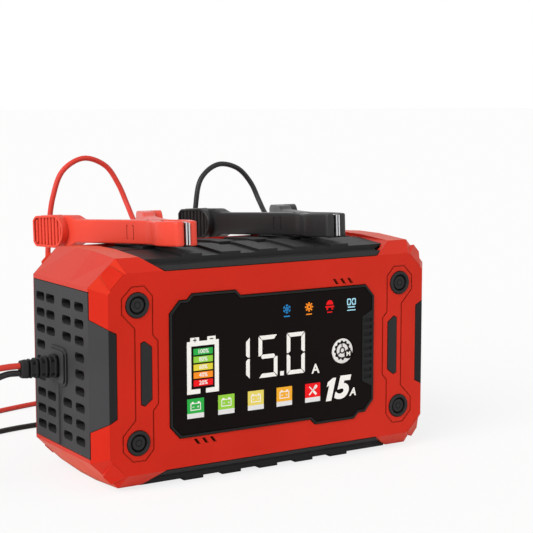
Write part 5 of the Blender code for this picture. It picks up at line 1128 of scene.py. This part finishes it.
def spring_line():
    """Path of the torsion spring: a leg on one arm, the coil round the pin, a leg on the other."""
    start, sweep = math.radians(50), math.radians(800)
    rise = COIL_PITCH * sweep / (2 * math.pi)
    low = CLAMP_HEIGHT / 2 - rise / 2
    near = Vector((0.00145, 0.0052))       # each leg starts half sunk in its own arm, clear of the other
    far = near + Vector((2.9, 11.1)).normalized() * LEG_LENGTH
    coil = [(*(ray(start + sweep * i / COIL_STEPS) * COIL_RADIUS), low + rise * i / COIL_STEPS)
            for i in range(COIL_STEPS + 1)]
    return [(far.x, far.y, low), (near.x, near.y, low), *coil,
            (-near.x, near.y, low + rise), (-far.x, far.y, low + rise)]


# ---------------------------------------------------------------- stage
class CHARGER_OT_stage(bpy.types.Operator):
    """Set the charger on a plain pale floor in soft light"""
    bl_idname = "charger.stage"
    bl_label = "Stage"

    def execute(self, context):
        scene = context.scene
        scene.view_settings.view_transform = "Standard"
        scene.world = bpy.data.worlds.new("studio")
        scene.world.use_nodes = True
        tree = scene.world.node_tree
        tree.nodes.clear()
        white = (1, 1, 1, 1)
        rays = add(tree, "ShaderNodeLightPath").outputs
        mirrored = add(tree, "ShaderNodeMath", {
            0: rays["Is Glossy Ray"], 1: rays["Is Transmission Ray"]}, operation="MAXIMUM")
        seen = add(tree, "ShaderNodeMath", {0: rays["Is Camera Ray"], 1: mirrored}, operation="MAXIMUM")
        soft = add(tree, "ShaderNodeBackground", {"Color": white, "Strength": 0.42})
        full = add(tree, "ShaderNodeBackground", {"Color": white, "Strength": 1.0})
        both = add(tree, "ShaderNodeMixShader", {0: seen, 1: soft, 2: full})
        add(tree, "ShaderNodeOutputWorld", {"Surface": both})

        floor = bpy.data.meshes.new("floor")
        floor.from_pydata([(-30, -30, 0), (30, -30, 0), (30, 30, 0), (-30, 30, 0)], [], [(0, 1, 2, 3)])
        # matt white paper: its fibres only just show; most of what the camera sees is its own
        # white, so that it stays white round the charger and its shadow stays faint
        paper, tree, place = new_material("paper_matt")
        fibre = add(tree, "ShaderNodeTexNoise", {"Vector": place, "Scale": 400.0})
        tint = add(tree, "ShaderNodeMix", {0: fibre, 6: shade("#F6F6F6"), 7: shade("#FCFCFC")}, data_type="RGBA")
        matt = add(tree, "ShaderNodeBsdfDiffuse", {"Color": tint.outputs[2]})
        rays = add(tree, "ShaderNodeLightPath").outputs
        own = add(tree, "ShaderNodeEmission", {"Color": white, "Strength": 1.0})
        mostly = add(tree, "ShaderNodeMixShader", {0: 0.8, 1: matt, 2: own})
        pick = add(tree, "ShaderNodeMixShader", {0: rays["Is Camera Ray"], 1: matt, 2: mostly})
        add(tree, "ShaderNodeOutputMaterial", {"Surface": pick})
        floor.materials.append(paper)
        placed("floor", floor)

        for name, towards, strength, spread, tint in (("key", (-0.8, -0.3, 0.52), 2.6, 50, "#FFFDFA"),
                                                      ("fill", (0.35, -0.75, 0.45), 0.55, 80, "#FFFFFF")):
            light = bpy.data.lights.new(name, "SUN")
            light.energy = strength
            light.color = srgb(tint)
            light.angle = math.radians(spread)
            placed(name, light).rotation_euler = Vector(towards).to_track_quat("Z", "Y").to_euler()
        return {"FINISHED"}


class CHARGER_PT_panel(bpy.types.Panel):
    """Sizes, colours and the steps that dress the charger"""
    bl_idname = "CHARGER_PT_panel"
    bl_label = "Battery charger"
    bl_space_type = "VIEW_3D"
    bl_region_type = "UI"
    bl_category = "Charger"

    def draw(self, context):
        for group in (context.scene.charger_sizes, context.scene.charger_colours):
            for name in group.__annotations__:
                self.layout.prop(group, name)
        for step in STEPS:
            self.layout.operator(step.bl_idname)


STEPS = (CHARGER_OT_camera, CHARGER_OT_relief, CHARGER_OT_clamps, CHARGER_OT_leads, CHARGER_OT_case,
         CHARGER_OT_inside, CHARGER_OT_caps, CHARGER_OT_gauge, CHARGER_OT_reading, CHARGER_OT_modes,
         CHARGER_OT_button, CHARGER_OT_stage)
CLASSES = (CHARGER_PG_sizes, CHARGER_PG_colours) + STEPS + (CHARGER_PT_panel,)


def register():
    for item in CLASSES:
        bpy.utils.register_class(item)
    bpy.types.Scene.charger_sizes = PointerProperty(type=CHARGER_PG_sizes)
    bpy.types.Scene.charger_colours = PointerProperty(type=CHARGER_PG_colours)


def unregister():
    del bpy.types.Scene.charger_colours
    del bpy.types.Scene.charger_sizes
    for item in reversed(CLASSES):
        bpy.utils.unregister_class(item)


def main():
    register()
    for step in STEPS:
        group, name = step.bl_idname.split(".")
        getattr(getattr(bpy.ops, group), name)()
    bpy.context.view_layer.update()


if __name__ == "__main__":
    main()
